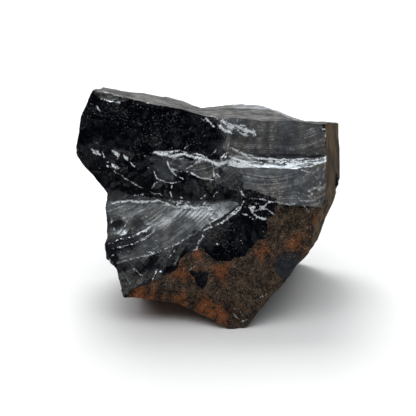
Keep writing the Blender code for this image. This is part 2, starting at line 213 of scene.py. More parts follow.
# small flakes struck by a ball: middle (across, up, out) and radius
CHIPS = [
    # crushed top corner, lip, edges of the front
    ((-29.5, 35.0, 4.5), 6.0), ((-26.0, 31.5, 5.0), 6.0), ((-12.8, 15.2, 2.6), 3.0),
    ((-5.5, 13.5, 4.0), 3.4), ((1.0, 14.0, 5.0), 3.0), ((35.5, 24.0, 2.5), 3.0),
    ((-40.2, 13.0, -3.0), 4.0), ((-32.0, 6.5, -6.5), 3.5), ((-26.5, -3.5, 3.0), 6.0),
    ((-30.5, -14.0, 3.5), 3.5), ((-24.5, -25.0, 4.0), 4.0),
    # under the panel, in the crust, at the tip
    ((13.2, -1.2, 4.8), 4.0), ((17.4, -1.4, 4.1), 3.4), ((20.6, -0.6, 4.5), 3.4),
    ((27.0, 0.5, 5.6), 3.0), ((24.0, -18.0, 14.0), 14.0), ((-2.5, -21.5, 8.3), 7.0),
    ((16.5, -27.5, 3.5), 3.2), ((9.5, -33.5, 3.5), 3.6),
    # sides, back and top
    ((43.6, 8.0, -26.5), 5.0), ((-43.7, -5.0, -1.5), 14.0), ((-53.3, 24.0, -19.0), 16.0),
    ((-24.0, 8.0, -57.5), 22.0), ((27.5, 5.0, -58.0), 19.0), ((-12.0, -16.0, -58.6), 18.0),
    ((18.0, 20.0, -56.0), 15.6), ((-24.0, 41.0, -41.0), 8.0), ((38.0, 33.0, -40.0), 8.0),
    ((38.0, -6.0, -44.0), 7.0), ((-26.0, -22.0, -42.0), 7.0)]

# the hollow across the middle: three bounded faces, all stopped by the fan
HOLLOWS = [("hollow", "hollow_end", "fan"), ("recess", "recess_end", "fan"),
           ("under_lip", "lip_end", "recess_end", "fan")]
CUTS = FLAKES + HOLLOWS
NAMES = list(FACES)
FLOOR = len(NAMES)            # the flat foot's number among the owners of points
BALL = 1000                   # owners from here on are balls

# finish of each face: satin, crust, dust and tan from 0 to 1, then its blow:
# the point the break spread from, ripple length, ripple, hackle and bowl height, mm
PLAIN = (0.1, 0, 0, 0, (0, 60, 0), 2.6, 0.02, 0.02, 0.2)
FINISH = {
    "upper_scar": (0.05, 0, 0, 0, (-90, 62, 6), 3.4, 0.02, 0.03, 0.1),
    "band": (0.85, 0, 0, 0, (20, 90, 10), 4, 0.004, 0.012, 0),
    "band_end": (0.3, 0, 0, 0, (20, 90, 10), 3, 0.01, 0.01, 0),
    "roll": (0.22, 0, 0, 0, (20, 90, 10), 1.2, 0.012, 0.012, 0),
    "panel": (0.98, 0, 0, 0, (20, 90, 10), 2.2, 0.02, 0.03, 0.05),
    "panel_corner": (0.85, 0, 0, 0, (28, 16, 6), 2, 0.03, 0.06, 0.1),
    "under_lip": (0.8, 0, 0, 0, (-4, 24, 6), 1.6, 0.045, 0.06, 1),
    "recess": (0.15, 0, 0, 0, (-4, 24, 0), 2.8, 0.03, 0.05, 0.8),
    "hollow": (0.14, 0, 0, 0, (-60, 34, 0), 3, 0.025, 0.05, 0.75),
    "fan": (0.48, 0, 0, 0, (-36, 28, -2), 1.1, 0.012, 0.035, 0.05),
    "low_scar": (0.2, 0, 0, 0, (-4, -2, 3), 2.6, 0.03, 0.06, 0.75),
    "crust": (0, 1, 0, 0, (0, 0, 40), 6, 0, 0, 0),
    "undercut": (0.3, 0.3, 0, 0, (0, 0, 40), 2, 0.02, 0.05, 0.3),
    "bevel": (0, 1, 0, 0, (0, 0, 40), 6, 0, 0, 0),
    "patch": (0.05, 0, 0, 0, (8, 4, 4), 2.8, 0.02, 0.03, 0.25),
    "top_left": (0.3, 0, 1, 0, (0, 30, -60), 4, 0.02, 0.03, 0.2),
    "top_mid": (0.3, 0, 1, 0, (0, 30, -60), 4, 0.02, 0.03, 0.2),
    "top_right": (0.3, 0, 0.9, 0, (0, 30, -60), 4, 0.02, 0.03, 0.2),
    "top_back": (0.35, 0, 0.45, 0, (0, 30, -60), 3, 0.03, 0.04, 0.3),
    "top_tail": (0.3, 0, 0.8, 0, (0, 30, -60), 3, 0.03, 0.04, 0.2),
    "side": (0, 0, 0.8, 0.72, (40, 0, 40), 6, 0, 0.01, 0.15),
    "side_foot": (0.2, 0.1, 0.3, 0.6, (40, 0, 40), 5, 0.01, 0.02, 0.3),
    "side_heel": (0.5, 0, 0.3, 0.2, (40, 40, -20), 3, 0.02, 0.04, 0.4),
    "under_right": (0.35, 0.2, 0, 0.1, (30, 0, -50), 3, 0.03, 0.04, 0.4),
    "left_top": (0.2, 0, 0.2, 0, (-40, 60, -10), 3, 0.02, 0.04, 0.3),
    "left_high": (0.1, 0, 0, 0, (-40, 60, -10), 2.6, 0.03, 0.04, 0.3),
    "left_slope": (0.1, 0, 0, 0, (-40, 40, -30), 2.6, 0.03, 0.04, 0.3),
    "left_mid": (0.3, 0, 0, 0, (-40, 20, -30), 2.6, 0.03, 0.04, 0.3),
    "left_low": (0.15, 0, 0, 0, (-40, 0, -30), 2.6, 0.03, 0.04, 0.3),
    "left_foot": (0.15, 0, 0, 0, (-40, 0, -30), 2.6, 0.03, 0.04, 0.3),
    "under_left": (0.1, 0.6, 0, 0.2, (-40, 0, -30), 2.6, 0.02, 0.04, 0.2),
    "under_mid": (0.1, 0.8, 0, 0.3, (-40, 0, -30), 2.6, 0.02, 0.04, 0.2),
    "back_left": (0.15, 0, 0, 0, (-20, 50, -45), 3.2, 0.04, 0.045, 0.4),
    "back_right": (0.55, 0, 0, 0, (30, 50, -45), 2.6, 0.03, 0.045, 0.25),
    "back_scar": (0.1, 0, 0, 0, (4, 40, -45), 3.4, 0.05, 0.04, 0.3),
    "back_low": (0.05, 0.9, 0, 0.2, (0, 0, -60), 3, 0, 0.02, 0.2),
}
ROWS = [FINISH.get(name, PLAIN) for name in NAMES] + [PLAIN]    # the last is the floor's

# the rough crust on the front, and glassy windows broken through it: outlines (across, up)
CRUST_EDGE = [(-40, -40), (-26, -29), (-24.9, -27.3), (-23.7, -25.2), (-18.3, -22.5),
              (-14.7, -20.7), (-9.9, -18.3), (-8.1, -14.7), (-3.9, -12.3), (0, -10.5),
              (6, -8), (12, -6), (17.5, -3), (20.4, 0.9), (30.6, 0.4), (37, -0.6),
              (60, -4), (60, -60), (-40, -60)]
WINDOWS = {
    "patch": [(-2.4, -8.4), (1.5, -5.7), (5.7, -3.6), (9, -2.4), (12.3, -1), (15.3, -1.4),
              (18, -4.5), (18, -8.4), (15.3, -9.9), (14.4, -11.1), (12.3, -12.3),
              (11.1, -14.1), (6.9, -15.6), (2.4, -15.9), (-0.1, -13.7), (-2.4, -11.1)],
    "small": [(-5.5, -18.8), (-2.8, -19.2), (0, -18.9), (-0.4, -21.6), (-1.5, -24.6),
              (-2.5, -24), (-3.9, -21.6)],
    "ledge": [(8, 1.6), (12, 2.6), (20.4, 1.8), (20, -1.5), (17.4, -3.2), (12.6, -3)],
}
OVAL = [(19.9, -14.7), (21.8, -13.4), (25, -13.1), (28.2, -13.9), (27.9, -16.3),
        (25.5, -19), (23.4, -21.4), (21.3, -20.4), (19.7, -18)]

# the fan's lower rim (across, up): below it the fan's sheet is finished as the low scar
RIM = [(-40, -17), (-28, -16.8), (-17.4, -14.7), (-8.4, -11.1), (-5.4, -8.3),
       (5.1, -3.9), (11.1, 0.6)]

# glass cleaner or more streaked than round about: middle (across, up, out), radius, satin.
# The first two spots are partly painted light: the fan's middle, which faces the lamps,
# is given less satin grey and so a darker colour, and the lower fan, which they leave dim,
# more satin grey and so a lighter one
SHEEN = [
    ((-4, -3.5, -2.5), 10, 0.3), ((-22, -12.5, -1), 4.5, 0.65),
    ((7.5, 9.5, 1.5), 3.5, 0.35), ((-27.5, -10.8, 0), 3.2, 0.05),
    ((-23, -9.4, 0), 3.2, 0.05), ((-18.6, -7.2, 0), 2.2, 0.1),
    ((-28, -4.6, -3), 2.4, 0.1), ((-21.5, -4.2, -3), 2.4, 0.15),
    ((8.2, -1.5, 2), 1.6, 0.1), ((15, 32, -39), 8, 0.02),
    ((20, 30.5, -38), 6, 0.02), ((-13, 11.5, -2), 4, 0.5),
    ((-33, 13, -4), 7, 0.03), ((-32, 8, -5), 5, 0.03),
    ((11, 14.5, 1), 4.5, 0.85)]

# rust in the crust: middle (across, up), radius
RUST = [((-8, -18.5), 4.5), ((26, -10), 2.8), ((33.5, -3.5), 2.4), ((4, -19), 3),
        ((15.5, -13), 3), ((-3, -13.5), 2.5), ((-20, -26), 4), ((-14, -26.5), 4),
        ((-8, -27.5), 4), ((-2, -29.5), 4), ((4, -32), 3)]

# crushed, powdery spots: middle (across, up, out), radius, whiteness
CRUSHED = [((31.5, 5.5, 2.5), 3, 0.75), ((29, 8, 3), 2, 0.5),
           ((-31, 34.5, 0), 4, 0.7), ((-26, 31, 0), 2.5, 0.5),
           ((8, -33, 0.5), 2.2, 0.5), ((17, -26.5, 0.5), 1.8, 0.5),
           ((1, -4, 1.8), 2.2, 0.6), ((3, 13.2, 2.6), 2, 0.6), ((5.5, 15, 2), 2.6, 0.8),
           ((12, 1, 2), 3, 0.4), ((-30, -15, 0.5), 2, 0.4)]

# fine broken steps and white lines, crushed or glinting: points (across, up), half width,
# height, whiteness, and how much of the line is missing.  The whiteness is partly crushed
# glass and partly painted highlight: glints of light drawn into the colour on the lip,
# the roll, under the top edge and in the flecks on the left
STEPS = [
    # lip: its white line is partly painted highlight
    ([(-17.4, 16.5), (-15.6, 16.6), (-14.4, 16.3), (-12, 15.9), (-9.9, 15.6), (-6.9, 16.1),
      (-3.9, 15), (-0.9, 14.7), (1.2, 13.8), (3, 12.9), (5.4, 13.7), (6.9, 14.1)],
      0.8, 0.3, 1, 0),
    # above the lip
    ([(-16.5, 17.1), (-12.6, 16.7), (-8.4, 17), (-3, 15.9), (0.6, 15)], 0.5, 0.05, 0.5, 0.2),
    ([(-9, 16.4), (-6.5, 18.4), (-3.6, 20.1)], 0.3, 0.04, 0.05, 0.35),
    ([(-12.6, 16.8), (-10.2, 18.6)], 0.3, 0.04, 0.05, 0.35),
    ([(-5, 16.2), (-2.4, 18)], 0.3, 0.04, 0.05, 0.4),
    ([(0.5, 15.4), (3, 17.5), (5.4, 18.3)], 0.35, 0.05, 0.2, 0.3),
    ([(3.6, 14.4), (5.1, 16.2), (6.6, 16.8)], 0.4, 0.06, 0.5, 0.2),
    # lip, wide
    ([(-16.8, 16.9), (-12, 16.6), (-6.9, 16.6), (-0.9, 15.2), (3, 13.9), (6.9, 14.6)],
      1, 0.15, 0, 0),
    # roll: the white of its threads is painted highlight, the bright streak of the mirrored light
    # drawn along the roll
    ([(7.8, 14.6), (12, 13.9), (17.4, 13.5)], 0.9, 0.45, 0, 0),
    ([(6.6, 18.3), (8.7, 17.1), (11.4, 16.2), (14.4, 15.6)], 0.45, 0.08, 0.7, 0.1),
    ([(9, 16.8), (10.8, 15.9), (12.6, 15.3), (16.2, 14.9), (21.6, 14.6), (27.6, 14.7),
      (33.9, 15)], 0.55, 0.05, 1, 0),
    ([(17.4, 14.1), (22.5, 13.9), (28.5, 14.1), (34.2, 14.7)], 0.5, 0.05, 0.85, 0.2),
    ([(20.4, 13.4), (26.4, 13.3), (31.5, 13.6), (34.2, 14.1)], 0.5, 0.05, 0.85, 0.25),
    ([(25.5, 12.3), (29.4, 12.3), (32.4, 12.9)], 0.4, 0.05, 0.7, 0.3),
    ([(6, 15.6), (7.8, 15), (9.6, 14.1), (12.6, 12.9), (16.2, 12.2)], 0.55, 0.15, 0.95, 0.05),
    ([(27.6, 11.4), (29.4, 10.8), (30.9, 10.8)], 0.4, 0.08, 0.5, 0.2),
    # under the top edge, in the middle: bright streaks whose white is partly painted highlight
    ([(3.6, 26.4), (6, 24.6), (8.1, 23.6)], 1, 0.35, 1.1, 0),
    ([(5.1, 25.9), (7.5, 24.7), (10.5, 23.7), (13.2, 22.8), (14.7, 21.6)], 0.9, 0.25, 1.05, 0),
    ([(3, 25), (5.4, 23.1), (7.4, 22)], 0.95, 0.3, 1, 0),
    ([(8.4, 23.6), (10.5, 22.2), (12.3, 21.6)], 0.6, 0.2, 0.7, 0.2),
    ([(-0.9, 27.3), (0.9, 25.5), (2.1, 24)], 0.55, 0.25, 0.8, 0.15),
    ([(-3, 27.6), (-1.2, 26.1)], 0.5, 0.2, 0.5, 0.3),
    ([(0.6, 28.5), (3, 26.7)], 0.5, 0.2, 0.5, 0.3),
    ([(9.6, 24.9), (11.4, 24.3)], 0.5, 0.15, 0.5, 0.2),
    # upper left
    ([(-31.5, 32.7), (-28.8, 31.5), (-25.5, 31.8)], 0.5, 0.2, 0.5, 0.25),
    ([(-29.4, 34.2), (-26.4, 33.6), (-24, 32.4)], 0.4, 0.15, 0.4, 0.4),
    ([(-33.6, 30.6), (-32.4, 29.1)], 0.4, 0.2, 0.5, 0.1),
    ([(-20.4, 30.3), (-18.3, 29.4)], 0.4, 0.15, 0.4, 0.2),
    # top corner on the right
    ([(34.2, 23.4), (35.4, 23.7)], 0.5, 0.2, 0.6, 0),
    ([(35.7, 22.8), (35.4, 21), (34.5, 19.5)], 0.5, 0.15, 0.4, 0.3),
    ([(31.8, 16.8), (33, 16.2)], 0.4, 0.15, 0.4, 0),
    # valley over the fan
    ([(-29.7, 1.2), (-28.5, 1.5), (-26.4, 1.8), (-23.4, 2.2), (-20.4, 1.8), (-17.4, 2.1),
      (-15.3, 2.3), (-13.8, 1.8), (-12, 1.5)], 0.6, 0.25, 1, 0),
    # flecks on the left: their white is partly painted glint
    ([(-35.4, 17.8), (-33.9, 16.8), (-32.4, 15.8)], 0.85, 0.35, 0.95, 0),
    ([(-31.2, 13.9), (-29.7, 14.2)], 0.5, 0.3, 0.95, 0),
    ([(-30.9, 12.9), (-29.7, 12.6)], 0.85, 0.3, 0.95, 0),
    ([(-29.4, 13.5), (-28.2, 12.6), (-27, 11.5)], 0.85, 0.32, 0.95, 0.1),
    ([(-28.8, 17.4), (-27.9, 16.2), (-26.7, 15)], 0.85, 0.3, 0.95, 0.2),
    ([(-25.8, 15.9), (-24, 14.5)], 0.5, 0.3, 0.95, 0.1),
    ([(-23.7, 14.1), (-21.9, 12.3)], 0.4, 0.18, 0.85, 0.2),
    ([(-31.8, 16.8), (-31.2, 15)], 0.5, 0.2, 0.85, 0.3),
    # slanting, low in the upper scar
    ([(-28.8, 11.1), (-27, 10.2), (-23.4, 8.2)], 0.35, 0.14, 0.1, 0.2),
    ([(-23.4, 8.1), (-21, 6.6), (-19.6, 5.7)], 0.4, 0.22, 0.35, 0.1),
    # short dashes
    ([(-22.8, 3.9), (-21, 4), (-19.2, 4.2)], 0.4, 0.22, 0.4, 0),
    ([(-18, 12), (-17.4, 12.3)], 0.4, 0.2, 0.4, 0),
    # left side of the fan
    ([(-29.7, -10.7), (-26.4, -9.6), (-23.4, -9), (-20.4, -7.8), (-18, -6.6), (-16.5, -5.1)],
      0.42, 0.28, 0.25, 0.15),
    ([(-29.4, -12.3), (-25.8, -11.4), (-22.5, -10.8), (-18.9, -9.3), (-16.8, -7.8),
      (-15.6, -6.3)], 0.38, 0.22, 0.25, 0.2),
    ([(-30, -14.7), (-26.4, -13.5), (-22.8, -12.6), (-19.2, -11.4)], 0.35, 0.15, 0.1, 0.3),
    ([(-27.9, -8.1), (-28.5, -5.4), (-29.1, -3)], 0.4, 0.2, 0.2, 0.2),
    ([(-26.7, -7.8), (-25.2, -6), (-24.3, -4.2)], 0.4, 0.2, 0.2, 0.3),
    ([(-20.4, -4.8), (-18.6, -5.1), (-16.5, -4.8)], 0.4, 0.2, 0.4, 0.3),
    ([(-21.9, -4.5), (-20.1, -3.3), (-17.4, -2.4)], 0.35, 0.15, 0.1, 0.4),
    # fan rim
    ([(-27.9, -16.2), (-23.4, -15.3), (-17.4, -14.1), (-12.9, -12.3), (-8.4, -10.5),
      (-5.4, -8.1)], 0.35, 0.15, 0.35, 0.25),
    ([(11.4, 2.7), (9.6, 0.6), (7.2, -1.3), (5.1, -3)], 0.35, 0.2, 0.75, 0.05),
    ([(10.5, 1.5), (9, -0.6), (6.9, -2.4), (4.2, -4.2), (1.8, -5.4)], 0.4, 0.2, 0.75, 0.15),
    ([(9.6, 5.7), (10.5, 3.9), (11.4, 2.9)], 0.45, 0.22, 0.8, 0),
    ([(1.8, -5.4), (-0.6, -6.3), (-2.4, -7.5)], 0.6, 0.15, 0.7, 0.35),
    ([(-2.4, -6.3), (-1.5, -8.7), (-3.3, -10.8)], 0.6, 0.12, 0.6, 0.4),
    # foot of the panel
    ([(11.4, 2.9), (14.1, 2.7), (16.5, 2.5), (18, 2.1), (21.6, 1.5), (24.6, 1.2), (27.3, 1.5)],
      0.42, 0.2, 0.7, 0.05),
    ([(27.3, 1.5), (29.1, 0), (30.6, -1.5)], 0.4, 0.18, 0.5, 0.1),
    ([(25.2, 4.5), (27, 3), (28.5, 1.2)], 0.35, 0.12, 0.3, 0.3),
    # ledge
    ([(12.6, 0.9), (13.2, -1.5), (14.4, -2.7), (16.2, -3.1), (19.2, -3)], 0.5, 0.2, 1, 0),
    ([(12.6, -0.9), (15, -0.6), (17.1, 0.6), (18.6, 2.1)], 0.45, 0.16, 1, 0.1),
    ([(13.5, 1.8), (15.3, 0.6), (18, -0.6), (20.1, -2.1)], 0.45, 0.15, 1, 0.1),
    ([(10.5, 0.3), (12.6, 0), (14.4, 0.3)], 0.45, 0.15, 1, 0.1),
    ([(16.5, 2.7), (17.4, 4.2), (18.6, 5.1)], 0.35, 0.12, 0.35, 0.2),
    ([(9.9, -1.8), (12, -2.4), (13.8, -3.6)], 0.4, 0.1, 0.9, 0.2),
    # low scar
    ([(-19.8, -14.7), (-17.7, -14.1), (-15.9, -12.9)], 0.45, 0.25, 0.3, 0),
    ([(-22.5, -18), (-21, -19.2), (-19.8, -20.4)], 0.45, 0.25, 0.3, 0),
    ([(-16.8, -21.9), (-15.9, -19.8), (-15.3, -18)], 0.5, 0.25, 0.3, 0.2),
    ([(-18.6, -13.3), (-16.5, -13.2)], 0.35, 0.2, 0.3, 0),
    ([(-12.9, -16.2), (-10.8, -13.8), (-9.6, -12)], 0.4, 0.18, 0.2, 0.4),
    ([(-8.1, -16.2), (-6.3, -14.4), (-3.6, -12.6), (-2.1, -9.9)], 0.45, 0.15, 0.5, 0.4),
    # panel corner
    ([(26.7, 4.8), (28.2, 3.9), (31.2, 3.3)], 0.45, 0.2, 0.35, 0),
    ([(31.5, 9.9), (33, 8.4), (34.2, 6.6)], 0.35, 0.12, 0.1, 0.1),
    ([(27.6, 7.8), (28.8, 8.4)], 0.35, 0.15, 0.3, 0.3),
    # under lip
    ([(-12.9, 15), (-11.7, 12.3), (-9.9, 10.2), (-6.9, 8.1)], 0.38, 0.18, 0.6, 0.15),
    ([(-8.4, 11.4), (-5.4, 10.7), (-2.4, 9), (2.7, 8.2)], 0.38, 0.2, 0.95, 0.15),
    ([(-7.5, 11.1), (-4.8, 12.9), (-1.5, 14.4)], 0.38, 0.18, 0.95, 0.1),
    ([(0.9, 14.1), (1.8, 11.4), (1.8, 9)], 0.45, 0.16, 0.95, 0.4),
    ([(3.3, 12), (2.7, 10.2), (3.9, 8.7)], 0.4, 0.16, 0.95, 0.4),
    ([(-11.4, 12.6), (-10.2, 11.4), (-8.4, 11.4)], 0.45, 0.2, 0.95, 0.2),
    # left hollow
    ([(-16.8, 12), (-15.3, 9), (-13.5, 8.1), (-10.8, 7.5), (-8.1, 7.9)], 0.38, 0.2, 0.6, 0.15),
    ([(-14.4, 8.5), (-16.2, 7.2), (-17.6, 5.4), (-16.8, 4.3), (-15, 4.2), (-12.9, 3.3)],
      0.35, 0.16, 0.6, 0.15),
    ([(-10.8, 7.2), (-11.4, 4.8), (-10.8, 3.3)], 0.35, 0.12, 0.95, 0.3),
    # crumbs along the hollow
    ([(-13.5, 0.6), (-12, 1.6)], 0.45, 0.08, 0.85, 0.3),
    ([(-9.9, 0.9), (-8.4, 1.5), (-7.2, 1.2)], 0.45, 0.08, 0.85, 0.2),
    ([(-8.4, 0), (-5.4, 0.1), (-2.4, 0.4)], 0.45, 0.08, 0.85, 0.35),
    ([(-1.5, 0.9), (-0.6, 1.8)], 0.4, 0.08, 0.85, 0.2),
    ([(0, -0.3), (2.4, 0)], 0.4, 0.08, 0.85, 0.4),
    ([(-2.1, 2.7), (-0.6, 3.9)], 0.35, 0.08, 0.85, 0.2),
    ([(1.5, 3.3), (3, 4.8)], 0.35, 0.08, 0.85, 0.3),
    ([(-8.4, 3.3), (-7.2, 3)], 0.35, 0.08, 0.85, 0.2),
    ([(-13.2, 1.9), (-11.4, 0.7), (-9.3, 0.3), (-6.3, 0.6), (-3.3, -0.2), (-0.6, 0.5), (1.5, 0)],
      0.7, 0.06, 0.75, 0.1),
    ([(-12, 2.4), (-10.2, 1.8), (-7.8, 2.1), (-4.5, 1.5)], 0.4, 0.06, 0.5, 0.3),
    # window edge
    ([(-5.7, -19.2), (-4.8, -18), (-3.6, -17.1)], 0.35, 0.12, 0.6, 0),
    # tip
    ([(7.2, -31.2), (9, -33), (11.1, -34.2)], 0.5, 0.15, 0.45, 0.3),
    ([(9, -30.3), (10.5, -32.4), (12, -33.9)], 0.45, 0.15, 0.45, 0.3),
    ([(14.1, -27.9), (15.9, -26.7), (18, -25.8)], 0.5, 0.15, 0.45, 0.3),
    # crust and glassy patch
    ([(-15.3, -23.4), (-12, -22.8), (-7.8, -23.7)], 0.45, 0.12, 0.5, 0.35),
    ([(2.4, -10.5), (3, -11.4)], 0.5, 0.2, 0.6, 0),
    ([(7.5, -9.6), (9.6, -9.8), (11.4, -9.9)], 0.3, 0.12, 0.2, 0.2),
]

# grid of directions: cells across, up and in depth; the front has twice as many each way
CELLS = (128, 114, 52)


# ---- from the leaning frame to the upright one ---------------------------------
def stand(p):
    """Turn leaning millimetres (across, up, out) into metres, +Z up, front at -Y."""
    c, s = cos(LEAN), sin(LEAN)
    return MM * np.stack([p[:, 0] + SHIFT_X, s * p[:, 1] - c * p[:, 2] + SHIFT_Y,
                          c * p[:, 1] + s * p[:, 2] + FOOT], axis=1)


# ---- noise ---------------------------------------------------------------------
LATTICE = np.array([73856093, 19349663, 83492791])     # large primes that scatter the cells
SCATTER, SCATTER_AGAIN = 668265263, 374761393
POSITIVE = 0x7FFFFFFF                                  # keeps a scattered number positive


def lattice(p, cell, seed):
    """Smooth noise from -1 to 1: a fixed random height at each corner of a cubic lattice,
    blended in each direction by the curve 3tt - 2ttt of the place t in the cell."""
    q = p / cell + 11.7 * seed
    base = np.floor(q).astype(np.int64)
    t = q - base
    t = t * t * (3.0 - 2.0 * t)
    total = np.zeros(len(p))
    for corner in range(8):
        step = np.array([corner & 1, corner >> 1 & 1, corner >> 2 & 1])
        key = (((base + step) * LATTICE).sum(axis=1) + seed * 6971) & POSITIVE
        key = ((key ^ (key >> 15)) * SCATTER) & POSITIVE
        key = ((key ^ (key >> 13)) * SCATTER_AGAIN) & POSITIVE
        value = ((key ^ (key >> 16)) & 0xFFFF) / 32767.5 - 1.0
        total += value * np.where(step, t, 1.0 - t).prod(axis=1)
    return total


def swell(p, length, seed):
    """Slow noise from about -1 to 1: the mean of five sine waves of roughly one length,
    each running in its own fixed random direction."""
    rng = np.random.default_rng(seed)
    way = rng.normal(size=(5, 3))
    way /= np.linalg.norm(way, axis=1)[:, None]
    wave = 2.0 * np.pi / (length * rng.uniform(0.75, 1.4, 5))
    return np.sin(p @ (way * wave[:, None]).T + rng.uniform(0, 6.28, 5)).mean(axis=1) * 1.6


# ---- the level of the stone ----------------------------------------------------
def terms(a, b):
    """The six terms a bent sheet is made of: 1, a, b, aa, ab, bb."""
    return np.stack([np.ones_like(a), a, b, a * a, a * b, b * b], axis=-1)


def fit_sheets():
    """Fit the height of every face through its points by least squares; the square terms
    are made dear, so a sheet bends only as much as its points ask."""
    sheets = []
    for facing, count, points in FACES.values():
        along, first, second, sign = FACING[facing]
        p = np.array(points, float)
        mid = p.mean(axis=0)
        cost = np.array([1e3, 1e2, 1e2, 1.0, 1.0, 1.0])[:count]
        rows = terms(p[:, first] - mid[first], p[:, second] - mid[second])[:, :count] * cost
        fit = np.zeros(6)
        fit[:count] = np.linalg.lstsq(rows, p[:, along], rcond=None)[0] * cost
        sheets.append((along, first, second, sign, mid, fit))
    return sheets


SHEETS = fit_sheets()
FAN = NAMES.index("fan")


def uneven(p):
    """Bend space a little, so that edges wander: three slow noises, one per direction."""
    return p + np.stack([0.32 * swell(p, 13.0, 3) + 0.12 * swell(p, 5.0, 4),
                         0.32 * swell(p, 12.0, 5) + 0.12 * swell(p, 5.5, 6),
                         0.25 * swell(p, 14.0, 7) + 0.06 * swell(p, 6.0, 8)], axis=1)


def face_level(number, p):
    """Distance, along the facing, of points beyond one face: above nought is struck away."""
    along, first, second, sign, mid, fit = SHEETS[number]
    a, b = p[:, first] - mid[first], p[:, second] - mid[second]
    height = fit[0] + fit[1] * a + fit[2] * b
    if fit[3:].any():
        height = height + (fit[3] * a + fit[4] * b) * a + fit[5] * b * b
    if number == FAN:
        away = np.hypot(p[:, 0] - RIPPLE_MIDDLE[0], p[:, 1] - RIPPLE_MIDDLE[1])
        height = height + RIPPLE[0] * np.sin(2.0 * np.pi * away / RIPPLE[1])
    return sign * (p[:, along] - height)


def stone_level(p):
    """Level of the stone: each flake is the least of its faces' levels, the stone the
    greatest of its flakes and the floor.  Also gives the face that decides, and how much
    it leads the next flake that another face decides."""
    q = uneven(p)
    faces = [face_level(k, q) for k in range(len(NAMES))]
    levels = [-(cos(LEAN) * p[:, 1] + sin(LEAN) * p[:, 2] + FOOT)]
    deciders = [np.full(len(p), FLOOR)]
    for cut in CUTS:
        rows = np.stack([faces[NAMES.index(name)] for name in cut])
        ids = np.array([NAMES.index(name) for name in cut])
        levels.append(rows.min(axis=0))
        deciders.append(ids[rows.argmin(axis=0)])
    levels, deciders = np.stack(levels), np.stack(deciders)
    first = levels.argmax(axis=0)[None]
    best = np.take_along_axis(levels, first, 0)[0]
    owner = np.take_along_axis(deciders, first, 0)[0]
    return best, owner, best - np.where(deciders == owner, -99.0, levels).max(axis=0)


# ---- the grid of directions ----------------------------------------------------
def directions():
    """Unit directions, quads and triangles of a closed box of six grids round the heart.

    Each side is a grid of two parameters.  The front is flat and twice as fine; the back
    bulges by (1 - ssss)(1 - tttt), so its cells keep their size; the four other sides run
    straight between the two rims.  Where a side meets the fine front, each of its quads
    becomes three triangles round the front's middle point.  Shared points are joined."""
    nx, ny, nz = CELLS
    wide, tall, front, rim, bulge = 41.0, 37.0, 24.0, -8.0, 16.0
    points, quads, thirds = [], [], []

    def side(a, b, place, flip, fine=None):
        """One grid of place(a, b); fine holds the middle points of its first row."""
        ga, gb = np.meshgrid(a, b, indexing="ij")
        start = sum(len(p) for p in points)
        number = start + np.arange(ga.size).reshape(ga.shape)
        points.append(np.stack(place(ga, gb), axis=-1).reshape(-1, 3))
        quad = np.stack([number[:-1, :-1], number[1:, :-1], number[1:, 1:],
                         number[:-1, 1:]], axis=-1)
        if fine is not None:
            middle = start + ga.size + np.arange(len(fine))
            points.append(np.stack(place(fine, np.zeros_like(fine)), axis=-1))
            one, two, three, four = quad[:, 0].T
            third = np.concatenate([np.stack(t, axis=1) for t in (
                (one, middle, four), (middle, three, four), (middle, two, three))])
            thirds.append(third[:, ::-1] if flip else third)
            quad = quad[:, 1:]
        quad = quad.reshape(-1, 4)
        quads.append(quad[:, ::-1] if flip else quad)

    def even(count):
        return np.linspace(-1, 1, count + 1)

    depth = np.linspace(0, 1, nz + 1)
    side(even(2 * nx), even(2 * ny),
         lambda a, b: (wide * a, tall * b, np.full_like(a, front)), False)
    side(even(nx), even(ny), lambda a, b: (
        wide * a, tall * b, rim - bulge * (1 - a ** 4) * (1 - b ** 4)), True)
    for sign in (-1.0, 1.0):
        side(even(nx), depth, lambda a, b: (
            wide * a, np.full_like(a, sign * tall), front + (rim - front) * b),
            sign < 0, even(2 * nx)[1::2])
        side(even(ny), depth, lambda a, b: (
            np.full_like(a, sign * wide), tall * a, front + (rim - front) * b),
            sign > 0, even(2 * ny)[1::2])
    points = np.concatenate(points)
    _, keep, joined = np.unique(np.round(points * 1e4).astype(np.int64), axis=0,
                                return_index=True, return_inverse=True)
    joined = joined.reshape(-1)
    way = points[keep] / np.linalg.norm(points[keep], axis=1)[:, None]
    return way, joined[np.concatenate(quads)], joined[np.concatenate(thirds)]


def halves(quads, points, ridge):
    """Split quads into triangles: along the diagonal that joins two points of a ridge,
    and otherwise along the shorter one."""
    a, b, c, d = quads.T
    first, second = ridge[a] & ridge[c], ridge[b] & ridge[d]
    shorter = (np.linalg.norm(points[a] - points[c], axis=1)
               <= np.linalg.norm(points[b] - points[d], axis=1))
    use = np.where(first != second, first, shorter)
    one = np.where(use[:, None], np.stack([a, b, c], 1), np.stack([a, b, d], 1))
    two = np.where(use[:, None], np.stack([a, c, d], 1), np.stack([b, c, d], 1))
    return np.concatenate([one, two])


def smooth(points, triangles, rounds):
    """Move every point to the mean of its neighbours along the edges, some rounds."""
    one = triangles.reshape(-1)
    two = np.roll(triangles, -1, axis=1).reshape(-1)
    share = (np.bincount(one, minlength=len(points))
             + np.bincount(two, minlength=len(points)))[:, None]
    for _ in range(rounds):
        points = np.stack([np.bincount(one, points[two, k], len(points))
                           + np.bincount(two, points[one, k], len(points))
                           for k in range(3)], axis=1) / share
    return points


def reach(way, halvings):
    """Distance from the heart to the surface along each direction, by halving."""
    low, high = np.full(len(way), NEAREST), np.full(len(way), FARTHEST)
    for _ in range(halvings):
        middle = 0.5 * (low + high)
        inside = stone_level(HEART + way * middle[:, None])[0] <= 0.0
        low, high = np.where(inside, middle, low), np.where(inside, high, middle)
    return low


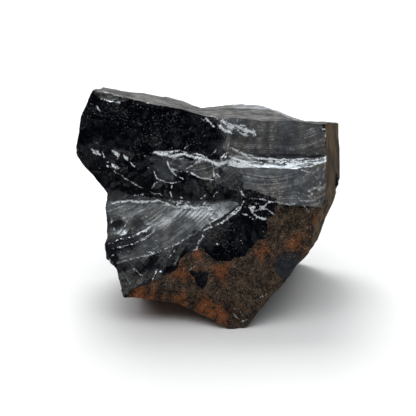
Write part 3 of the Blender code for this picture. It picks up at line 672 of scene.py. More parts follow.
def bite(way, far, owner, balls):
    """Shorten each direction to where it enters a ball: for a ball whose middle m lies
    along the direction by d, and whose radius is r, that is d - root(dd - mm + rr)."""
    for number, (middle, radius) in enumerate(balls):
        m = np.array(middle) - HEART
        along = way @ m
        under = along ** 2 - m @ m + radius ** 2
        enter = along - np.sqrt(np.maximum(under, 0.0))
        hit = (under > 0.0) & (along > 0.0) & (enter < far)
        far = np.where(hit, enter, far)
        owner = np.where(hit, BALL + number, owner)
    return far, owner


def normals(points, triangles):
    """Unit normal at each point: the sum of its triangles' cross products."""
    one, two, three = (points[triangles[:, k]] for k in range(3))
    across = np.cross(two - one, three - one)
    total = np.stack([np.bincount(triangles.reshape(-1), np.repeat(across[:, k], 3),
                                  len(points)) for k in range(3)], axis=1)
    return total / (np.linalg.norm(total, axis=1)[:, None] + 1e-12)


def own_level(p, owner, balls):
    """Level and slope of each point's own face, ball or floor."""
    q = uneven(p)
    level, slope = np.zeros(len(p)), np.zeros((len(p), 3))
    for number in np.unique(owner):
        mine = owner == number
        if number >= BALL:
            away = p[mine] - np.array(balls[number - BALL][0])
            size = np.linalg.norm(away, axis=1)
            level[mine] = balls[number - BALL][1] - size
            slope[mine] = -away / size[:, None]
        elif number == FLOOR:
            slope[mine] = (0.0, -cos(LEAN), -sin(LEAN))
            level[mine] = p[mine] @ slope[mine][0] - FOOT
        else:
            along, first, second, sign, mid, fit = SHEETS[number]
            r = q[mine]
            a, b = r[:, first] - mid[first], r[:, second] - mid[second]
            level[mine] = face_level(number, r)
            tilt = np.zeros((len(r), 3))
            tilt[:, along] = sign
            tilt[:, first] = -sign * (fit[1] + 2 * fit[3] * a + fit[4] * b)
            tilt[:, second] = -sign * (fit[2] + fit[4] * a + 2 * fit[5] * b)
            slope[mine] = tilt
    return level, slope


def settle(points, triangles, owner, balls):
    """Move points near a ridge onto it, so that edges come out crisp.

    Where the two ends of an edge lie on different faces, the ridge crosses it at
    t = g / (g + h), from how far each end is off the other's face.  The nearer end moves
    there, then on to the line where both levels are nought: the least step d that makes
    level + slope . d nought for both at once.  Also tells which points lie on a ridge."""
    pairs = np.sort(np.concatenate([triangles[:, [0, 1]], triangles[:, [1, 2]],
                                    triangles[:, [2, 0]]]), axis=1)
    pairs = np.unique(pairs[owner[pairs[:, 0]] != owner[pairs[:, 1]]], axis=0)
    one, two = pairs.T
    g = np.abs(own_level(points[one], owner[two], balls)[0])
    h = np.abs(own_level(points[two], owner[one], balls)[0])
    t = g / (g + h + 1e-9)
    length = np.linalg.norm(points[one] - points[two], axis=1)
    who = np.where(t < 0.5, one, two)
    target = points[one] + t[:, None] * (points[two] - points[one])
    for _ in range(4):
        ga, sa = own_level(target, owner[one], balls)
        gb, sb = own_level(target, owner[two], balls)
        aa, ab, bb = (sa * sa).sum(1), (sa * sb).sum(1), (sb * sb).sum(1)
        whole = np.maximum(aa * bb - ab * ab, 0.01 * aa * bb)
        ka, kb = (ab * gb - bb * ga) / whole, (ab * ga - aa * gb) / whole
        step = ka[:, None] * sa + kb[:, None] * sb
        target = target + np.clip(step, -RIDGE_STEP, RIDGE_STEP)
    moved = np.linalg.norm(target - points[who], axis=1)
    good = moved < RIDGE_REACH * length
    order = np.argsort(-moved[good])
    made, ridge = points.copy(), np.zeros(len(points), bool)
    made[who[good][order]] = target[good][order]
    ridge[who[good]] = True
    return made, ridge


def bowls(p, cell, seed):
    """Shallow bowls that meet in sharp ridges: the square of the distance to the nearest
    of a set of points, one at a fixed random place in each cube of a lattice.  Also gives
    a fixed random value from 0 to 1 for each bowl."""
    q = p / cell + 5.3 * seed
    base = np.floor(q).astype(np.int64)
    least, value = np.full(len(p), 9.0), np.zeros(len(p))
    for step in np.ndindex(3, 3, 3):
        corner = base + np.array(step) - 1
        key = (corner * LATTICE).sum(axis=1) + seed * 7919
        away = np.zeros(len(p))
        for k in range(3):
            key = ((key ^ (key >> 13)) * SCATTER + 12345) & POSITIVE
            spot = corner[:, k] + ((key >> 8) & 0xFFFF) / 65535.0
            away += (q[:, k] - spot) ** 2
        value = np.where(away < least, ((key >> 5) & 0xFFF) / 4095.0, value)
        least = np.minimum(least, away)
    return least, value


def outline_depth(p, corners):
    """Distance of points (across, up) inside a closed outline; outside is below nought.
    The sign comes from how often a level line to the right meets the outline."""
    a = np.array(corners, float)
    b = np.roll(a, -1, axis=0)
    x, y = p[:, 0], p[:, 1]
    near, inside = np.full(len(p), 1e9), np.zeros(len(p), bool)
    for (ax, ay), (bx, by) in zip(a, b):
        t = np.clip(((x - ax) * (bx - ax) + (y - ay) * (by - ay))
                    / ((bx - ax) ** 2 + (by - ay) ** 2), 0, 1)
        near = np.minimum(near, np.hypot(x - ax - t * (bx - ax), y - ay - t * (by - ay)))
        if ay != by:
            inside ^= ((ay > y) != (by > y)) & (x < ax + (y - ay) * (bx - ax) / (by - ay))
    return np.where(inside, near, -near)


def line_distance(p, points):
    """Shortest distance of points (across, up) to a broken line, and how far along it the
    nearest place is, from 0 to 1."""
    a = np.array(points, float)
    near, along = np.full(len(p), 1e9), np.zeros(len(p))
    runs = len(a) - 1
    for k in range(runs):
        d = a[k + 1] - a[k]
        t = np.clip(((p[:, :2] - a[k]) @ d) / (d @ d), 0, 1)
        away = np.linalg.norm(p[:, :2] - a[k] - t[:, None] * d, axis=1)
        closer = away < near
        near, along = np.where(closer, away, near), np.where(closer, (k + t) / runs, along)
    return near, along


def edge_balls(points, normal, lead, count, seed):
    """Small balls that nick the edges: seated on random points where two flakes almost
    tie, pushed out along the normal so that each bites only a little."""
    rng = np.random.default_rng(seed)
    ridge = np.flatnonzero((lead < NICK_EDGE) & (points[:, 1] > NICK_FLOOR))
    chosen = rng.choice(ridge, count, replace=False)
    radius = NICK_RADIUS[0] + NICK_RADIUS[1] * rng.random(count) ** 2.0
    depth = NICK_BITE[0] + NICK_BITE[1] * rng.random(count)
    return [(points[k] + normal[k] * (r - d), r) for k, r, d in zip(chosen, radius, depth)]


def blend_step(value, start, end):
    """Rise from 0 to 1 between two values by the curve 3tt - 2ttt."""
    t = np.clip((value - start) / (end - start), 0.0, 1.0)
    return t * t * (3.0 - 2.0 * t)


def spread(p, middle, radius):
    """Square of each point's distance from a spot's middle, measured in radii; a middle
    of two numbers (across, up) leaves the depth out."""
    middle = np.array(middle)
    return ((p[:, :len(middle)] - middle) ** 2).sum(axis=1) / radius ** 2


def shake(p, cell, seed):
    """Noise across and up, and none in depth."""
    return np.stack([lattice(p, cell, seed), lattice(p, cell, seed + 1), np.zeros(len(p))],
                    axis=1)


def among(face, *names):
    """Which points lie on one of the named faces."""
    return np.isin(face, [NAMES.index(name) for name in names])


# ---- the surface ---------------------------------------------------------------
def bare_stone(nicks):
    """The stone before its fine forms.  Its points lie where the level is nought along
    each direction, less the balls, and its ridges are made crisp.

    Gives points, triangles, normals, the face that each point lies on, which points are
    bitten by a ball, and how much each point's face leads the next."""
    way, quads, thirds = directions()
    far = reach(way, FIRST_HALVINGS)
    triangles = np.concatenate([halves(quads, way, np.zeros(len(way), bool)), thirds])
    for _ in range(EVENINGS):
        way = smooth(HEART + way * far[:, None], triangles, EVENING_ROUNDS) - HEART
        way /= np.linalg.norm(way, axis=1)[:, None]
        far = reach(way, EVENING_HALVINGS)
    far = reach(way, LAST_HALVINGS)
    points = HEART + way * far[:, None]
    _, face, lead = stone_level(points)
    normal = normals(points, triangles)
    if (normal * way).sum(axis=1).mean() < 0:
        quads, thirds, triangles, normal = (quads[:, ::-1], thirds[:, ::-1],
                                            triangles[:, ::-1], -normal)
    balls = CHIPS + edge_balls(points, normal, lead, nicks, seed=11)
    far, owner = bite(way, far, face.copy(), balls)
    points, ridge = settle(HEART + way * far[:, None], triangles, owner, balls)
    triangles = np.concatenate([halves(quads, points, ridge), thirds])
    rim = np.interp(points[:, 0], *np.array(RIM).T)
    face = np.where((face == FAN) & (points[:, 1] < rim), NAMES.index("low_scar"), face)
    return points, triangles, normals(points, triangles), face, owner >= BALL, lead


def skins(points, face, bitten, ragged):
    """Satin, crust, dust and tan of each point from 0 to 1: those of its face, less on
    fresh bites.  The crust, the windows in it and the oval end at ragged outlines."""
    satin, crust, dust, tan = np.array([row[:4] for row in ROWS])[face].T
    front = points[:, 2] > CRUST_DEPTH
    low = among(face, "crust", "undercut", "bevel", "patch", "low_scar")
    edge = outline_depth(points, CRUST_EDGE) + ragged
    window = np.maximum.reduce([outline_depth(points, w) for w in WINDOWS.values()]) + ragged
    crusted = blend_step(edge, -0.1, 0.3) * blend_step(-window, -0.3, 0.3)
    crust = np.where(low & front, crusted, crust)
    glassy = low & front & (crusted < 0.5) & ~among(face, "low_scar")
    satin = np.where(glassy, WINDOW_SATIN, satin)
    oval = blend_step(outline_depth(points, OVAL) + 0.5 * ragged, -0.3, 0.4) * front * low
    crust, satin = crust * (1 - oval), np.maximum(satin, OVAL_SATIN * oval)
    crust = np.where(bitten & ~low, 0.0, crust)
    dust = np.where(bitten, 0.4 * dust, dust)
    tan = np.where(bitten, 0.5 * tan, tan)

    # the upper front turns from clean to streaked glass towards the right
    turn = blend_step(points[:, 0] + 0.25 * points[:, 1] - 5.0
                      + 1.6 * swell(points, 5.0, seed=24) + 0.8 * ragged, 1.5, 9.0)
    satin = np.where(among(face, "upper_scar", "band", "band_end"), BAND_SATIN * turn, satin)
    return satin, crust, dust, tan


def struck_forms(points, face, calm, look):
    """Fine forms that spread from the blow which struck each face.

    Ripples are a sine of the distance from the blow.  Hackles are noise on the direction
    from it, so that they run away from it.  Bowls are drawn out the same way, and each is
    a little more or less streaked.  Gives the height, that change of satin, how strongly
    rings show, and the patterns that the finish reads: rays and rings."""
    blow = np.array([row[4] for row in ROWS])[face]
    wave, ripple, hackle, scars = np.array([row[5:] for row in ROWS])[face].T
    away = points - blow
    distance = np.linalg.norm(away, axis=1)
    unit = away / distance[:, None]
    drift = 0.5 * swell(points, 16.0, seed=31)
    rays = 30.0 * unit + 0.04 * away
    rings = 1.8 * unit + np.stack([distance + drift * wave, 0 * drift, 0 * drift], axis=1)
    height = ripple * np.sin(2 * np.pi * (distance / wave + drift)) * calm * look.ripples
    height += hackle * calm * look.hackles * (lattice(rays, 1.3, seed=41)
                                              + 0.6 * lattice(rays, 0.7, seed=42))
    stretched = unit * (18.0 + 0.45 * distance[:, None]) + 0.3 * shake(points, 2.0, seed=43)
    wide, tone = bowls(stretched, 3.4, seed=45)
    narrow, shade = bowls(stretched, 1.6, seed=46)
    height += scars * calm * (wide - 0.25 + 0.35 * (narrow - 0.25))
    streaked = scars * calm * (0.8 * (tone - 0.6) + 0.5 * (shade - 0.6))
    return height, streaked, np.clip(ripple / FULL_RIPPLE, 0.0, 1.0), rays, rings


def broken_steps(points):
    """Height and thread of the fine broken lines.  The height is a bell curve of the
    distance to the line, the thread falls evenly with that distance, and noise bends,
    widens and breaks both.  The thread is drawn white, partly as crushed glass and
    partly as painted highlight."""
    wander = points + 0.25 * shake(points, 1.3, seed=71) + 0.12 * shake(points, 0.55, seed=74)
    gaps = 0.5 + 0.5 * lattice(points, 1.1, seed=73)
    breadth = 0.75 + 0.45 * lattice(points, 1.7, seed=76)
    front = points[:, 2] > STEP_DEPTH
    height, thread = np.zeros(len(points)), np.zeros(len(points))
    for line, width, tall, white, missing in STEPS:
        gap, along = line_distance(wander, line)
        fade = blend_step(along, -0.02, 0.12) * blend_step(1 - along, -0.02, 0.12)
        fade = fade * blend_step(gaps, missing - 0.12, missing + 0.12)
        height += tall * np.exp(-(gap / (0.8 * width * breadth)) ** 2) * fade * front
        if white > 0:
            near = np.clip(1.0 - gap / (1.7 * width * breadth), 0.0, 1.0) * front
            thread = np.maximum(thread, near * (0.45 + 0.55 * fade) * (0.72 + 0.33 * white))
    return height, thread


def crushed_spots(points, worn):
    """Height and powder of the crushed spots, small bowls within a bell curve of the
    distance from each middle, and the powder along worn edges."""
    pits = 0.25 * bowls(points, 1.5, seed=91)[0] - 0.1
    dabs = 0.5 + 0.8 * lattice(points, 0.9, seed=92)
    height = np.zeros(len(points))
    powder_and_glint = np.maximum(0.0, 0.4 * worn * (0.3 + 0.9 * lattice(points, 1.2, seed=81)))
    for middle, radius, white in CRUSHED:
        near = np.exp(-spread(points, middle, radius))
        height += near * pits
        powder_and_glint = np.maximum(powder_and_glint, white * near * dabs)
    return height, np.clip(powder_and_glint, 0, 1)


def crust_grain(points):
    """Lumps of the crust, three sizes of noise added up, from about -1 to 1."""
    return (0.8 * lattice(points, 2.6, seed=61) + 0.7 * lattice(points, 1.15, seed=62)
            + 0.6 * lattice(points, 0.6, seed=63))


def stone_shape(look):
    """Everything about the stone's surface: its points in leaning millimetres, its
    triangles, and one array per finish.  Each point of the bare stone moves along its
    normal by the sum of the fine forms."""
    points, triangles, normal, face, bitten, lead = bare_stone(look.nicks)
    ragged = 0.5 * lattice(points, 1.8, seed=21) + 0.35 * lattice(points, 0.8, seed=22)
    satin, crust, dust, tan = skins(points, face, bitten, ragged)
    calm = 1.0 - crust
    height, streaked, ringed, rays, rings = struck_forms(points, face, calm, look)
    satin = satin + streaked
    for middle, radius, target in SHEEN:
        off = np.maximum(spread(points, middle, radius) + 0.9 * ragged, 0.0)
        near = np.exp(-off ** 2)
        satin = satin + near * (target - satin)
        dust = dust * (1 - near)
    satin = np.clip(satin, 0, 1)
    rust = np.maximum.reduce([np.exp(-spread(points, *spot)) for spot in RUST])

    height += 0.05 * swell(points, 7.0, seed=51) + 0.02 * lattice(points, 2.4, seed=52)
    height += crust * look.grain / MM * crust_grain(points)
    step_height, thread = broken_steps(points)
    worn = np.exp(-(np.where(bitten, 9.0, lead) / WORN_WIDTH) ** 2) * calm
    crushed_height, powder_and_glint = crushed_spots(points, worn)
    height += look.steps * step_height + crushed_height
    points = points + normal * (height - SINK)[:, None]
    return points, triangles, {
        "satin": satin, "crust": crust, "dust": dust, "tan": tan, "powder_and_glint": powder_and_glint,
        "thread": thread, "rust": rust, "lined": ringed * satin, "rays": rays, "rings": rings}


# ---- node trees ----------------------------------------------------------------
class Wire:
    """One socket of a node tree.  Arithmetic on it adds Math nodes."""

    def __init__(self, graph, socket):
        self.graph, self.socket = graph, socket

    def _math(self, operation, *values):
        return self.graph.node("ShaderNodeMath", {"operation": operation},
                               dict(enumerate(values)))

    def __add__(self, other):
        return self._math("ADD", self, other)

    __radd__ = __add__

    def __sub__(self, other):
        return self._math("SUBTRACT", self, other)

    def __rsub__(self, other):
        return self._math("SUBTRACT", other, self)

    def __mul__(self, other):
        return self._math("MULTIPLY", self, other)

    __rmul__ = __mul__

    def at_most(self, other):
        return self._math("MINIMUM", self, other)

    def at_least(self, other):
        return self._math("MAXIMUM", self, other)


class Graph:
    """A material's or world's node tree, filled from expressions on its wires."""

    def __init__(self, owner):
        self.owner = owner
        owner.use_nodes = True
        self.tree = owner.node_tree
        self.tree.nodes.clear()

    def node(self, kind, settings=(), values=(), output=0):
        """Add a node: its settings first, then the values or links of its sockets."""
        made = self.tree.nodes.new(kind)
        for key, value in dict(settings).items():
            setattr(made, key, value)
        for key, value in dict(values).items():
            if isinstance(value, Wire):
                self.tree.links.new(value.socket, made.inputs[key])
            else:
                made.inputs[key].default_value = value
        return None if output is None else Wire(self, made.outputs[output])

    def attribute(self, name, output="Fac"):
        """One of the mesh's own arrays, as a number or as a vector."""
        return self.node("ShaderNodeAttribute", {"attribute_name": name}, output=output)

    def mix(self, factor, low, high):
        """Colour from low to high by a factor; a plain colour is three numbers."""
        low, high = (c if isinstance(c, Wire) else (*c, 1.0) for c in (low, high))
        return self.node("ShaderNodeMix", {"data_type": "RGBA"},
                         {0: factor, 6: low, 7: high}, output=2)

    def rise(self, value, start, end, low=0.0, high=1.0):
        """A smooth step from low to high while a value goes from start to end."""
        return self.node("ShaderNodeMapRange", {"interpolation_type": "SMOOTHSTEP"},
                         {"Value": value, "From Min": start, "From Max": end,
                          "To Min": low, "To Max": high})

    def noise(self, where, scale, detail, rough):
        """Noise around 0.5, of so many cells to a unit and so many finer layers."""
        return self.node("ShaderNodeTexNoise", {"noise_dimensions": "3D"},
                         {"Vector": where, "Scale": scale, "Detail": detail,
                          "Roughness": rough})

    def bump(self, height, strength, distance, under=None):
        """Normal of a skin raised by height times distance, over another normal if given."""
        values = {"Height": height, "Strength": strength, "Distance": distance}
        if under is not None:
            values["Normal"] = under
        return self.node("ShaderNodeBump", {}, values)

    def close(self, shader, kind="ShaderNodeOutputMaterial"):
        """Join the shader to the output and give back the material or world."""
        self.node(kind, {}, {"Surface": shader}, output=None)
        return self.owner


# ---- finishes ------------------------------------------------------------------
# noises that break the finish up: the pattern they lie on, cells to a metre or to a unit
# of the pattern, detail, roughness
NOISES = {
    "cloud": ("place", 110.0, 3.0, 0.55), "patchy": ("place", 420.0, 4.0, 0.65),
    "grit": ("place", 1500.0, 3.0, 0.60), "speck": ("place", 1900.0, 2.0, 0.70),
    "sand": ("place", 2600.0, 2.0, 0.70), "ray": ("rays", 1.0, 3.0, 0.60),
    "ring": ("rings", 1.4, 3.0, 0.65), "ring_line": ("rings", 2.6, 2.0, 0.50),
    "dash": ("rings", 4.5, 2.0, 0.70)}
GRADES = ("satin", "crust", "dust", "tan", "powder_and_glint", "thread", "rust", "lined")
CRUST_FLECK = (0.33, 0.31, 0.28)       # pale flecks in the crust
DUST_GAP = (0.04, 0.04, 0.04)          # stone between the dust
TAN_GAP = (0.065, 0.050, 0.036)        # stone between the tan skin
HAIR_BUMP, GLASS_BUMP, STONY_BUMP = 0.00014, 0.0008, 0.0006


def patterns(g):
    """All that the finish reads: every noise and every grade of the mesh, by name."""
    where = {"place": g.node("ShaderNodeTexCoord", output="Object"),
             "rays": g.attribute("rays", "Vector"), "rings": g.attribute("rings", "Vector")}
    read = {name: g.noise(where[on], *rest) for name, (on, *rest) in NOISES.items()}
    read.update((name, g.attribute(name)) for name in GRADES)
    return SimpleNamespace(**read)


def crushed_white_and_glints(g, n):
    """How white the glass is crushed, and where its white paints glints: the crushed white
    of spots and edges broken up by sand, and the threads of the fine steps where their
    value, shaken by sand and grit, is high enough.  Part of this white is painted
    highlight."""
    thread = n.thread + 1.5 * (n.sand - 0.5) + 0.8 * (n.grit - 0.5)
    return g.rise(n.powder_and_glint * (0.1 + n.grit + 0.9 * n.sand), 0.34, 0.70).at_least(
        g.rise(thread, 0.55, 0.85) * g.rise(n.patchy + 0.5 * n.grit, 0.50, 0.85, 0.45, 1.0))


def glass_colour(g, n, look, white):
    """Black glass, greyer by its satin in bands and clouds, then hairlines along the
    rings, short dashes, white specks and crushed edges, each over the last.  All of
    these are drawn in the crushed white, which partly paints glints and highlights of
    light on the glass."""
    tone = g.rise(0.4 * n.ray + 0.6 * n.ring + 0.5 * n.patchy, 0.56, 0.94)
    struck = g.mix(g.rise(n.cloud + 0.3 * n.patchy, 0.55, 0.80), look.satin, look.satin_warm)
    colour = g.mix(n.satin * (0.35 + 0.65 * tone), look.glass, struck)
    line = (g.rise(n.ring_line, 0.54, 0.72) * n.lined
            * g.rise(n.cloud + 0.5 * n.patchy, 0.50, 0.95))
    dash = (g.rise(n.dash + 0.45 * n.sand + 0.25 * n.cloud, 0.88, 1.0)
            * g.rise(n.patchy + 0.4 * n.grit, 0.66, 0.82))
    speck = (g.rise(n.speck, 0.66, 0.74)
             * g.rise(n.cloud + 0.6 * n.patchy, 0.65, 0.95, 0.04, 0.40)
             + g.rise(n.grit + 0.8 * n.cloud, 0.98, 1.20) * 0.05)
    for share in (line * look.hairlines, dash * g.rise(n.satin, 0.1, 0.7) * look.dashes,
                  speck, white):
        colour = g.mix(share, colour, look.powder_and_glint)
    return colour


def skin_colour(g, n, look, dusty, tanned):
    """Dark and brown grains with rust and pale flecks for the crust, under the dust of
    the top and the tan skin of the right side."""
    rusty = g.rise(0.5 * n.cloud + 0.6 * n.patchy + 0.3 * n.sand + 0.26 * n.rust, 0.78, 0.98)
    grain = g.rise(0.7 * n.patchy + 0.8 * n.grit + 0.6 * n.sand, 0.88, 1.18)
    skin = g.mix(grain, look.crust_dark, look.crust_brown)
    skin = g.mix(rusty * (0.15 + 0.85 * grain), skin, look.crust_rust)
    skin = g.mix(g.rise(n.sand + 0.4 * n.patchy, 0.82, 0.93) * 0.8, skin, CRUST_FLECK)
    layer = g.rise(0.25 * n.ring + 0.6 * n.cloud + 0.5 * n.patchy + 0.25 * n.grit, 0.62, 1.0)
    skin = g.mix(dusty, skin, g.mix(layer, DUST_GAP, look.dust))
    return g.mix(tanned, skin, g.mix(g.rise(n.cloud + 0.5 * n.patchy, 0.62, 0.9),
                                     TAN_GAP, look.tan))


def obsidian_finish(look):
    """Glass, and a dull skin of crust, dust or tan laid over it where the mesh's grades,
    their edges broken up by noise, say so; crushed glass shows through the skin."""
    g = Graph(bpy.data.materials.new("obsidian"))
    n = patterns(g)
    white = crushed_white_and_glints(g, n)
    crusty = g.rise(n.crust + 0.25 * (n.grit - 0.5), 0.35, 0.6)
    dusty = g.rise(n.dust + 0.9 * (n.patchy - 0.5) + 0.35 * (n.ring - 0.5), 0.35, 0.85)
    tanned = g.rise(n.tan + 0.6 * (n.patchy - 0.5), 0.3, 0.7)
    dull = crusty.at_least(dusty).at_least(tanned) * (1.0 - 0.6 * white)

    rough = (g.rise(n.satin, -0.15, 0.6, look.gloss - 0.03, look.satin_rough)
             + 0.06 * (n.patchy - 0.5))
    rough = (rough + white * 0.3).at_least(0.04).at_most(0.9)
    fine = g.bump((0.3 + n.satin) * n.ring_line + 0.25 * n.ray, 0.8, HAIR_BUMP)
    fine = g.bump(0.5 * n.patchy + 0.3 * n.grit, 0.09, GLASS_BUMP, fine)
    glass = g.node("ShaderNodeBsdfPrincipled", {}, {
        "Base Color": glass_colour(g, n, look, white), "Roughness": rough, "Normal": fine,
        "IOR": 1.5, "Specular IOR Level": 0.4}, "BSDF")
    coarse = g.bump(0.8 * n.patchy + 0.8 * n.grit + 0.6 * n.sand, 0.9, STONY_BUMP)
    stony = g.node("ShaderNodeBsdfPrincipled", {}, {
        "Base Color": skin_colour(g, n, look, dusty, tanned), "Roughness": 0.8,
        "Normal": coarse, "IOR": 1.45, "Specular IOR Level": 0.05}, "BSDF")
    return g.close(g.node("ShaderNodeMixShader", {}, {0: dull, 1: glass, 2: stony}))


def floor_finish(stage):
    """Plain pale floor with a trace of unevenness in its tone."""
    g = Graph(bpy.data.materials.new("pale_floor"))
    place = g.node("ShaderNodeTexCoord", output="Object")
    colour = g.mix(g.noise(place, 6.0, 2.0, 0.55), stage.floor,
                   [0.99 * part for part in stage.floor])
    return g.close(g.node("ShaderNodeBsdfPrincipled", {}, {
        "Base Color": colour, "Roughness": 0.9, "Specular IOR Level": 0.0}, "BSDF"))


def room(stage):
    """The dim room around: darker and lighter from place to place, with small bright panes
    that sparkle in the glass, and a soft brightness overhead and behind."""
    g = Graph(bpy.data.worlds.new("room"))
    way = g.node("ShaderNodeTexCoord", output="Generated")

    def glow(toward, wide, narrow):
        """1 within a narrow angle of a direction, falling to 0 at a wide one."""
        along = g.node("ShaderNodeVectorMath", {"operation": "DOT_PRODUCT"},
                       {0: way, 1: toward}, output="Value")
        return g.rise(along, cos(radians(wide)), cos(radians(narrow)))

    spots = g.rise(g.noise(way, 2.6, 1.0, 0.55), 0.35, 0.68, 0.25, 2.0)
    panes = g.rise(g.noise(way, 7.0, 1.0, 0.55), 0.66, 0.70) * stage.panes
    strength = (spots * stage.surround + panes + glow(OVERHEAD, 34.0, 8.0) * stage.high
                + glow(BEHIND, 40.0, 5.0) * stage.behind)
    return g.close(g.node("ShaderNodeBackground", {}, {
        "Color": (*stage.room_tint, 1.0), "Strength": strength}), "ShaderNodeOutputWorld")


# ---- meshes and lights ---------------------------------------------------------
def mesh_object(name, points, faces, material):
    """Object with a smooth-shaded mesh in metres, at the origin."""
    mesh = bpy.data.meshes.new(name)
    mesh.from_pydata(points.tolist(), [], faces.tolist())
    mesh.materials.append(material)
    mesh.shade_smooth()
    thing = bpy.data.objects.new(name, mesh)
    bpy.context.scene.collection.objects.link(thing)
    return thing


def light(name, place, aim, size, watts, colour=(1.0, 1.0, 1.0)):
    """A soft light of a width and a depth at a place, turned to face a point."""
    data = bpy.data.lights.new(name, "AREA")
    data.shape, data.size, data.size_y = "RECTANGLE", size[0], size[1]
    data.energy, data.color = watts, colour
    thing = bpy.data.objects.new(name, data)
    thing.location = place
    thing.rotation_euler = (Vector(aim) - Vector(place)).to_track_quat("-Z", "Y").to_euler()
    bpy.context.scene.collection.objects.link(thing)
    return thing


# ---- settings ------------------------------------------------------------------
def tint(name, description, default):
    """A colour that a user may change."""
    return bpy.props.FloatVectorProperty(name=name, description=description, default=default,
                                         subtype="COLOR", size=3, min=0.0, max=1.0)


def amount(name, description, default, **more):
    """A number that a user may change; more holds its unit or subtype."""
    return bpy.props.FloatProperty(name=name, description=description, default=default,
                                   **more)


class StoneSettings(bpy.types.PropertyGroup):
    """Sizes and colours of the stone."""
    ripples: amount("Ripples", "Height of the fine ripples, as a share", 1.0)
    hackles: amount("Hackles", "Height of the fine streaks, as a share", 1.0)
    steps: amount("Steps", "Height of the fine broken steps, as a share", 0.65)
    nicks: bpy.props.IntProperty(
        name="Nicks", description="How many small chips nick the edges", default=170)
    grain: amount("Crust grain", "Height of the lumps in the crust", 0.00017,
                  unit="LENGTH", precision=5)
    sharp: amount("Sharp edges", "Angle from which an edge is drawn sharp", radians(34.0),
                  subtype="ANGLE")
    gloss: amount("Glass roughness", "Roughness of clean glass", 0.09)
    satin_rough: amount("Satin roughness", "Roughness of streaked glass", 0.36)
    # hairlines and dashes are drawn in the crushed white, partly as painted glints
    hairlines: amount("Hairlines", "Whiteness of the finest streaks", 0.45)
    dashes: amount("Dashes", "Whiteness of the short dashes in streaked glass", 0.42)
    glass: tint("Glass", "Colour of clean glass", (0.0006, 0.0009, 0.0028))
    satin: tint("Satin", "Colour of streaked glass", (0.147, 0.160, 0.178))
    satin_warm: tint("Warm satin", "Browner streaked glass", (0.170, 0.158, 0.136))
    # bluish white of crushed glass, also the colour of the painted glints and highlights
    powder_and_glint: tint("Powder", "Colour of crushed edges", (0.91, 0.96, 1.0))
    dust: tint("Dust", "Colour of the dusty top", (0.23, 0.227, 0.217))
    tan: tint("Tan skin", "Colour of the right side", (0.155, 0.105, 0.058))
    crust_dark: tint("Crust grains", "Darkest of the crust", (0.014, 0.013, 0.013))
    crust_brown: tint("Crust brown", "Middle of the crust", (0.100, 0.069, 0.045))
    crust_rust: tint("Crust rust", "Brightest of the crust", (0.225, 0.074, 0.027))


class StageSettings(bpy.types.PropertyGroup):
    """Floor, lights and camera."""
    floor: tint("Floor", "Colour of the floor", (0.9, 0.9, 0.9))
    floor_side: amount("Floor side", "Side of the square floor", 6.0, unit="LENGTH")
    distance: amount("Camera distance", "Camera to the middle of the stone's face", 0.75,
                     unit="LENGTH")
    seen: amount("Width seen", "Width of the view at that distance", 0.1248, unit="LENGTH")
    mirror_watts: amount("Mirrored light", "Strength of the light mirrored in the glass",
                         34.0, unit="POWER")
    mirror_side: amount("Mirrored light side", "Depth of that light; it is twice as wide",
                        0.42, unit="LENGTH")
    mirror_tint: tint("Mirrored tint", "Colour of that light", (0.86, 0.94, 1.0))
    soft_watts: amount("Soft light", "Strength of the light from behind on the left", 7.0,
                       unit="POWER")
    soft_side: amount("Soft light side", "Side of that square light", 0.42, unit="LENGTH")
    broad_watts: amount("Broad light", "Strength of the broad light over all", 30.5,
                        unit="POWER")
    broad_side: amount("Broad light side", "Side of the broad square light", 3.0,
                       unit="LENGTH")
    high: amount("Overhead", "Brightness of the room overhead", 0.38)
    behind: amount("Behind", "Brightness of the room behind, at the floor's level", 1.1)
    panes: amount("Panes", "Brightness of the small panes in the room", 1.6)
    room_tint: tint("Room tint", "Colour of the dim room", (0.92, 0.96, 1.0))
    surround: amount("Surround", "Brightness of the room around", 0.015)


# ---- operators -----------------------------------------------------------------
class MakeStone(bpy.types.Operator):
    """Work out the stone's surface and its finish, in place of the plain solid"""
    bl_idname = "obsidian.make_stone"
    bl_label = "Make the stone"

    def execute(self, context):
        look = context.scene.obsidian_stone
        points, triangles, finishes = stone_shape(look)
        place = np.clip(stand(points), BOX[0], BOX[1])
        stone = mesh_object("stone", place, triangles, obsidian_finish(look))
        for name, values in finishes.items():
            kind, key = ("FLOAT", "value") if values.ndim == 1 else ("FLOAT_VECTOR", "vector")
            stone.data.attributes.new(name, kind, "POINT").data.foreach_set(
                key, values.astype(np.float32).reshape(-1))
        stone.data.set_sharp_from_angle(angle=look.sharp)
        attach(stone, "root")
        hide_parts("obsidian_chunk")
        return {"FINISHED"}


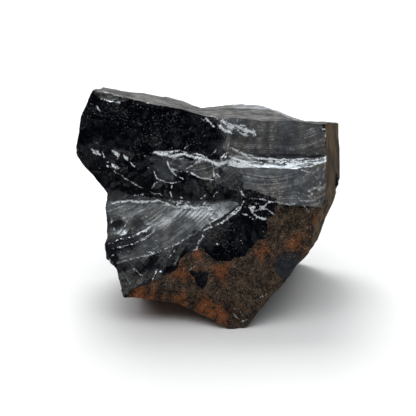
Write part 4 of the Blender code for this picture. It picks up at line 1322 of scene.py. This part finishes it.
class MakeStage(bpy.types.Operator):
    """Lay the pale floor, hang the soft lights and set the camera"""
    bl_idname = "obsidian.make_stage"
    bl_label = "Make the stage"

    def execute(self, context):
        scene, stage = context.scene, context.scene.obsidian_stage
        half = 0.5 * stage.floor_side
        corners = np.array([(-half, -half, 0), (half, -half, 0), (half, half, 0),
                            (-half, half, 0)], float)
        floor = mesh_object("floor", corners, np.array([[0, 1, 2, 3]]), floor_finish(stage))
        floor.visible_glossy = False     # the glass mirrors the dark room, not the floor
        # one light is mirrored in the glass; two that the glass doesn't mirror lighten
        # the stone and the floor and cast the soft shadow
        mirrored = light("mirrored_light", MIRROR_PLACE, STONE_MIDDLE,
                         (2.0 * stage.mirror_side, stage.mirror_side), stage.mirror_watts,
                         tuple(stage.mirror_tint))
        mirrored.visible_diffuse = False
        soft = light("soft_light", SOFT_PLACE, STONE_MIDDLE,
                     (stage.soft_side, stage.soft_side), stage.soft_watts)
        broad = light("broad_light", BROAD_PLACE, BROAD_AIM,
                      (stage.broad_side, stage.broad_side), stage.broad_watts)
        soft.visible_glossy = False
        broad.visible_glossy = False
        scene.world = room(stage)
        scene.view_settings.view_transform = "Standard"

        data = bpy.data.cameras.new("camera")
        data.sensor_width = SENSOR
        data.lens = data.sensor_width * stage.distance / stage.seen
        camera = bpy.data.objects.new("camera", data)
        camera.location = stand(np.array([[0.0, 0.0, stage.distance / MM]]))[0]
        camera.rotation_euler = (radians(90.0) - LEAN, 0.0, 0.0)
        scene.collection.objects.link(camera)
        bpy.context.scene.camera = camera
        return {"FINISHED"}


class ObsidianPanel(bpy.types.Panel):
    """Lists the steps and their settings"""
    bl_idname = "VIEW3D_PT_obsidian_chunk"
    bl_label = "Obsidian Chunk"
    bl_space_type = "VIEW_3D"
    bl_region_type = "UI"
    bl_category = "Obsidian"

    def draw(self, context):
        for operator, group in ((MakeStone, context.scene.obsidian_stone),
                                (MakeStage, context.scene.obsidian_stage)):
            box = self.layout.box()
            box.operator(operator.bl_idname)
            for name in group.__annotations__:
                box.prop(group, name)


CLASSES = (StoneSettings, StageSettings, MakeStone, MakeStage, ObsidianPanel)


def register():
    for each in CLASSES:
        bpy.utils.register_class(each)
    bpy.types.Scene.obsidian_stone = bpy.props.PointerProperty(type=StoneSettings)
    bpy.types.Scene.obsidian_stage = bpy.props.PointerProperty(type=StageSettings)


def unregister():
    del bpy.types.Scene.obsidian_stage
    del bpy.types.Scene.obsidian_stone
    for each in reversed(CLASSES):
        bpy.utils.unregister_class(each)


def main():
    """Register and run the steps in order."""
    register()
    bpy.ops.obsidian.make_stone()
    bpy.ops.obsidian.make_stage()


if __name__ == "__main__":
    main()
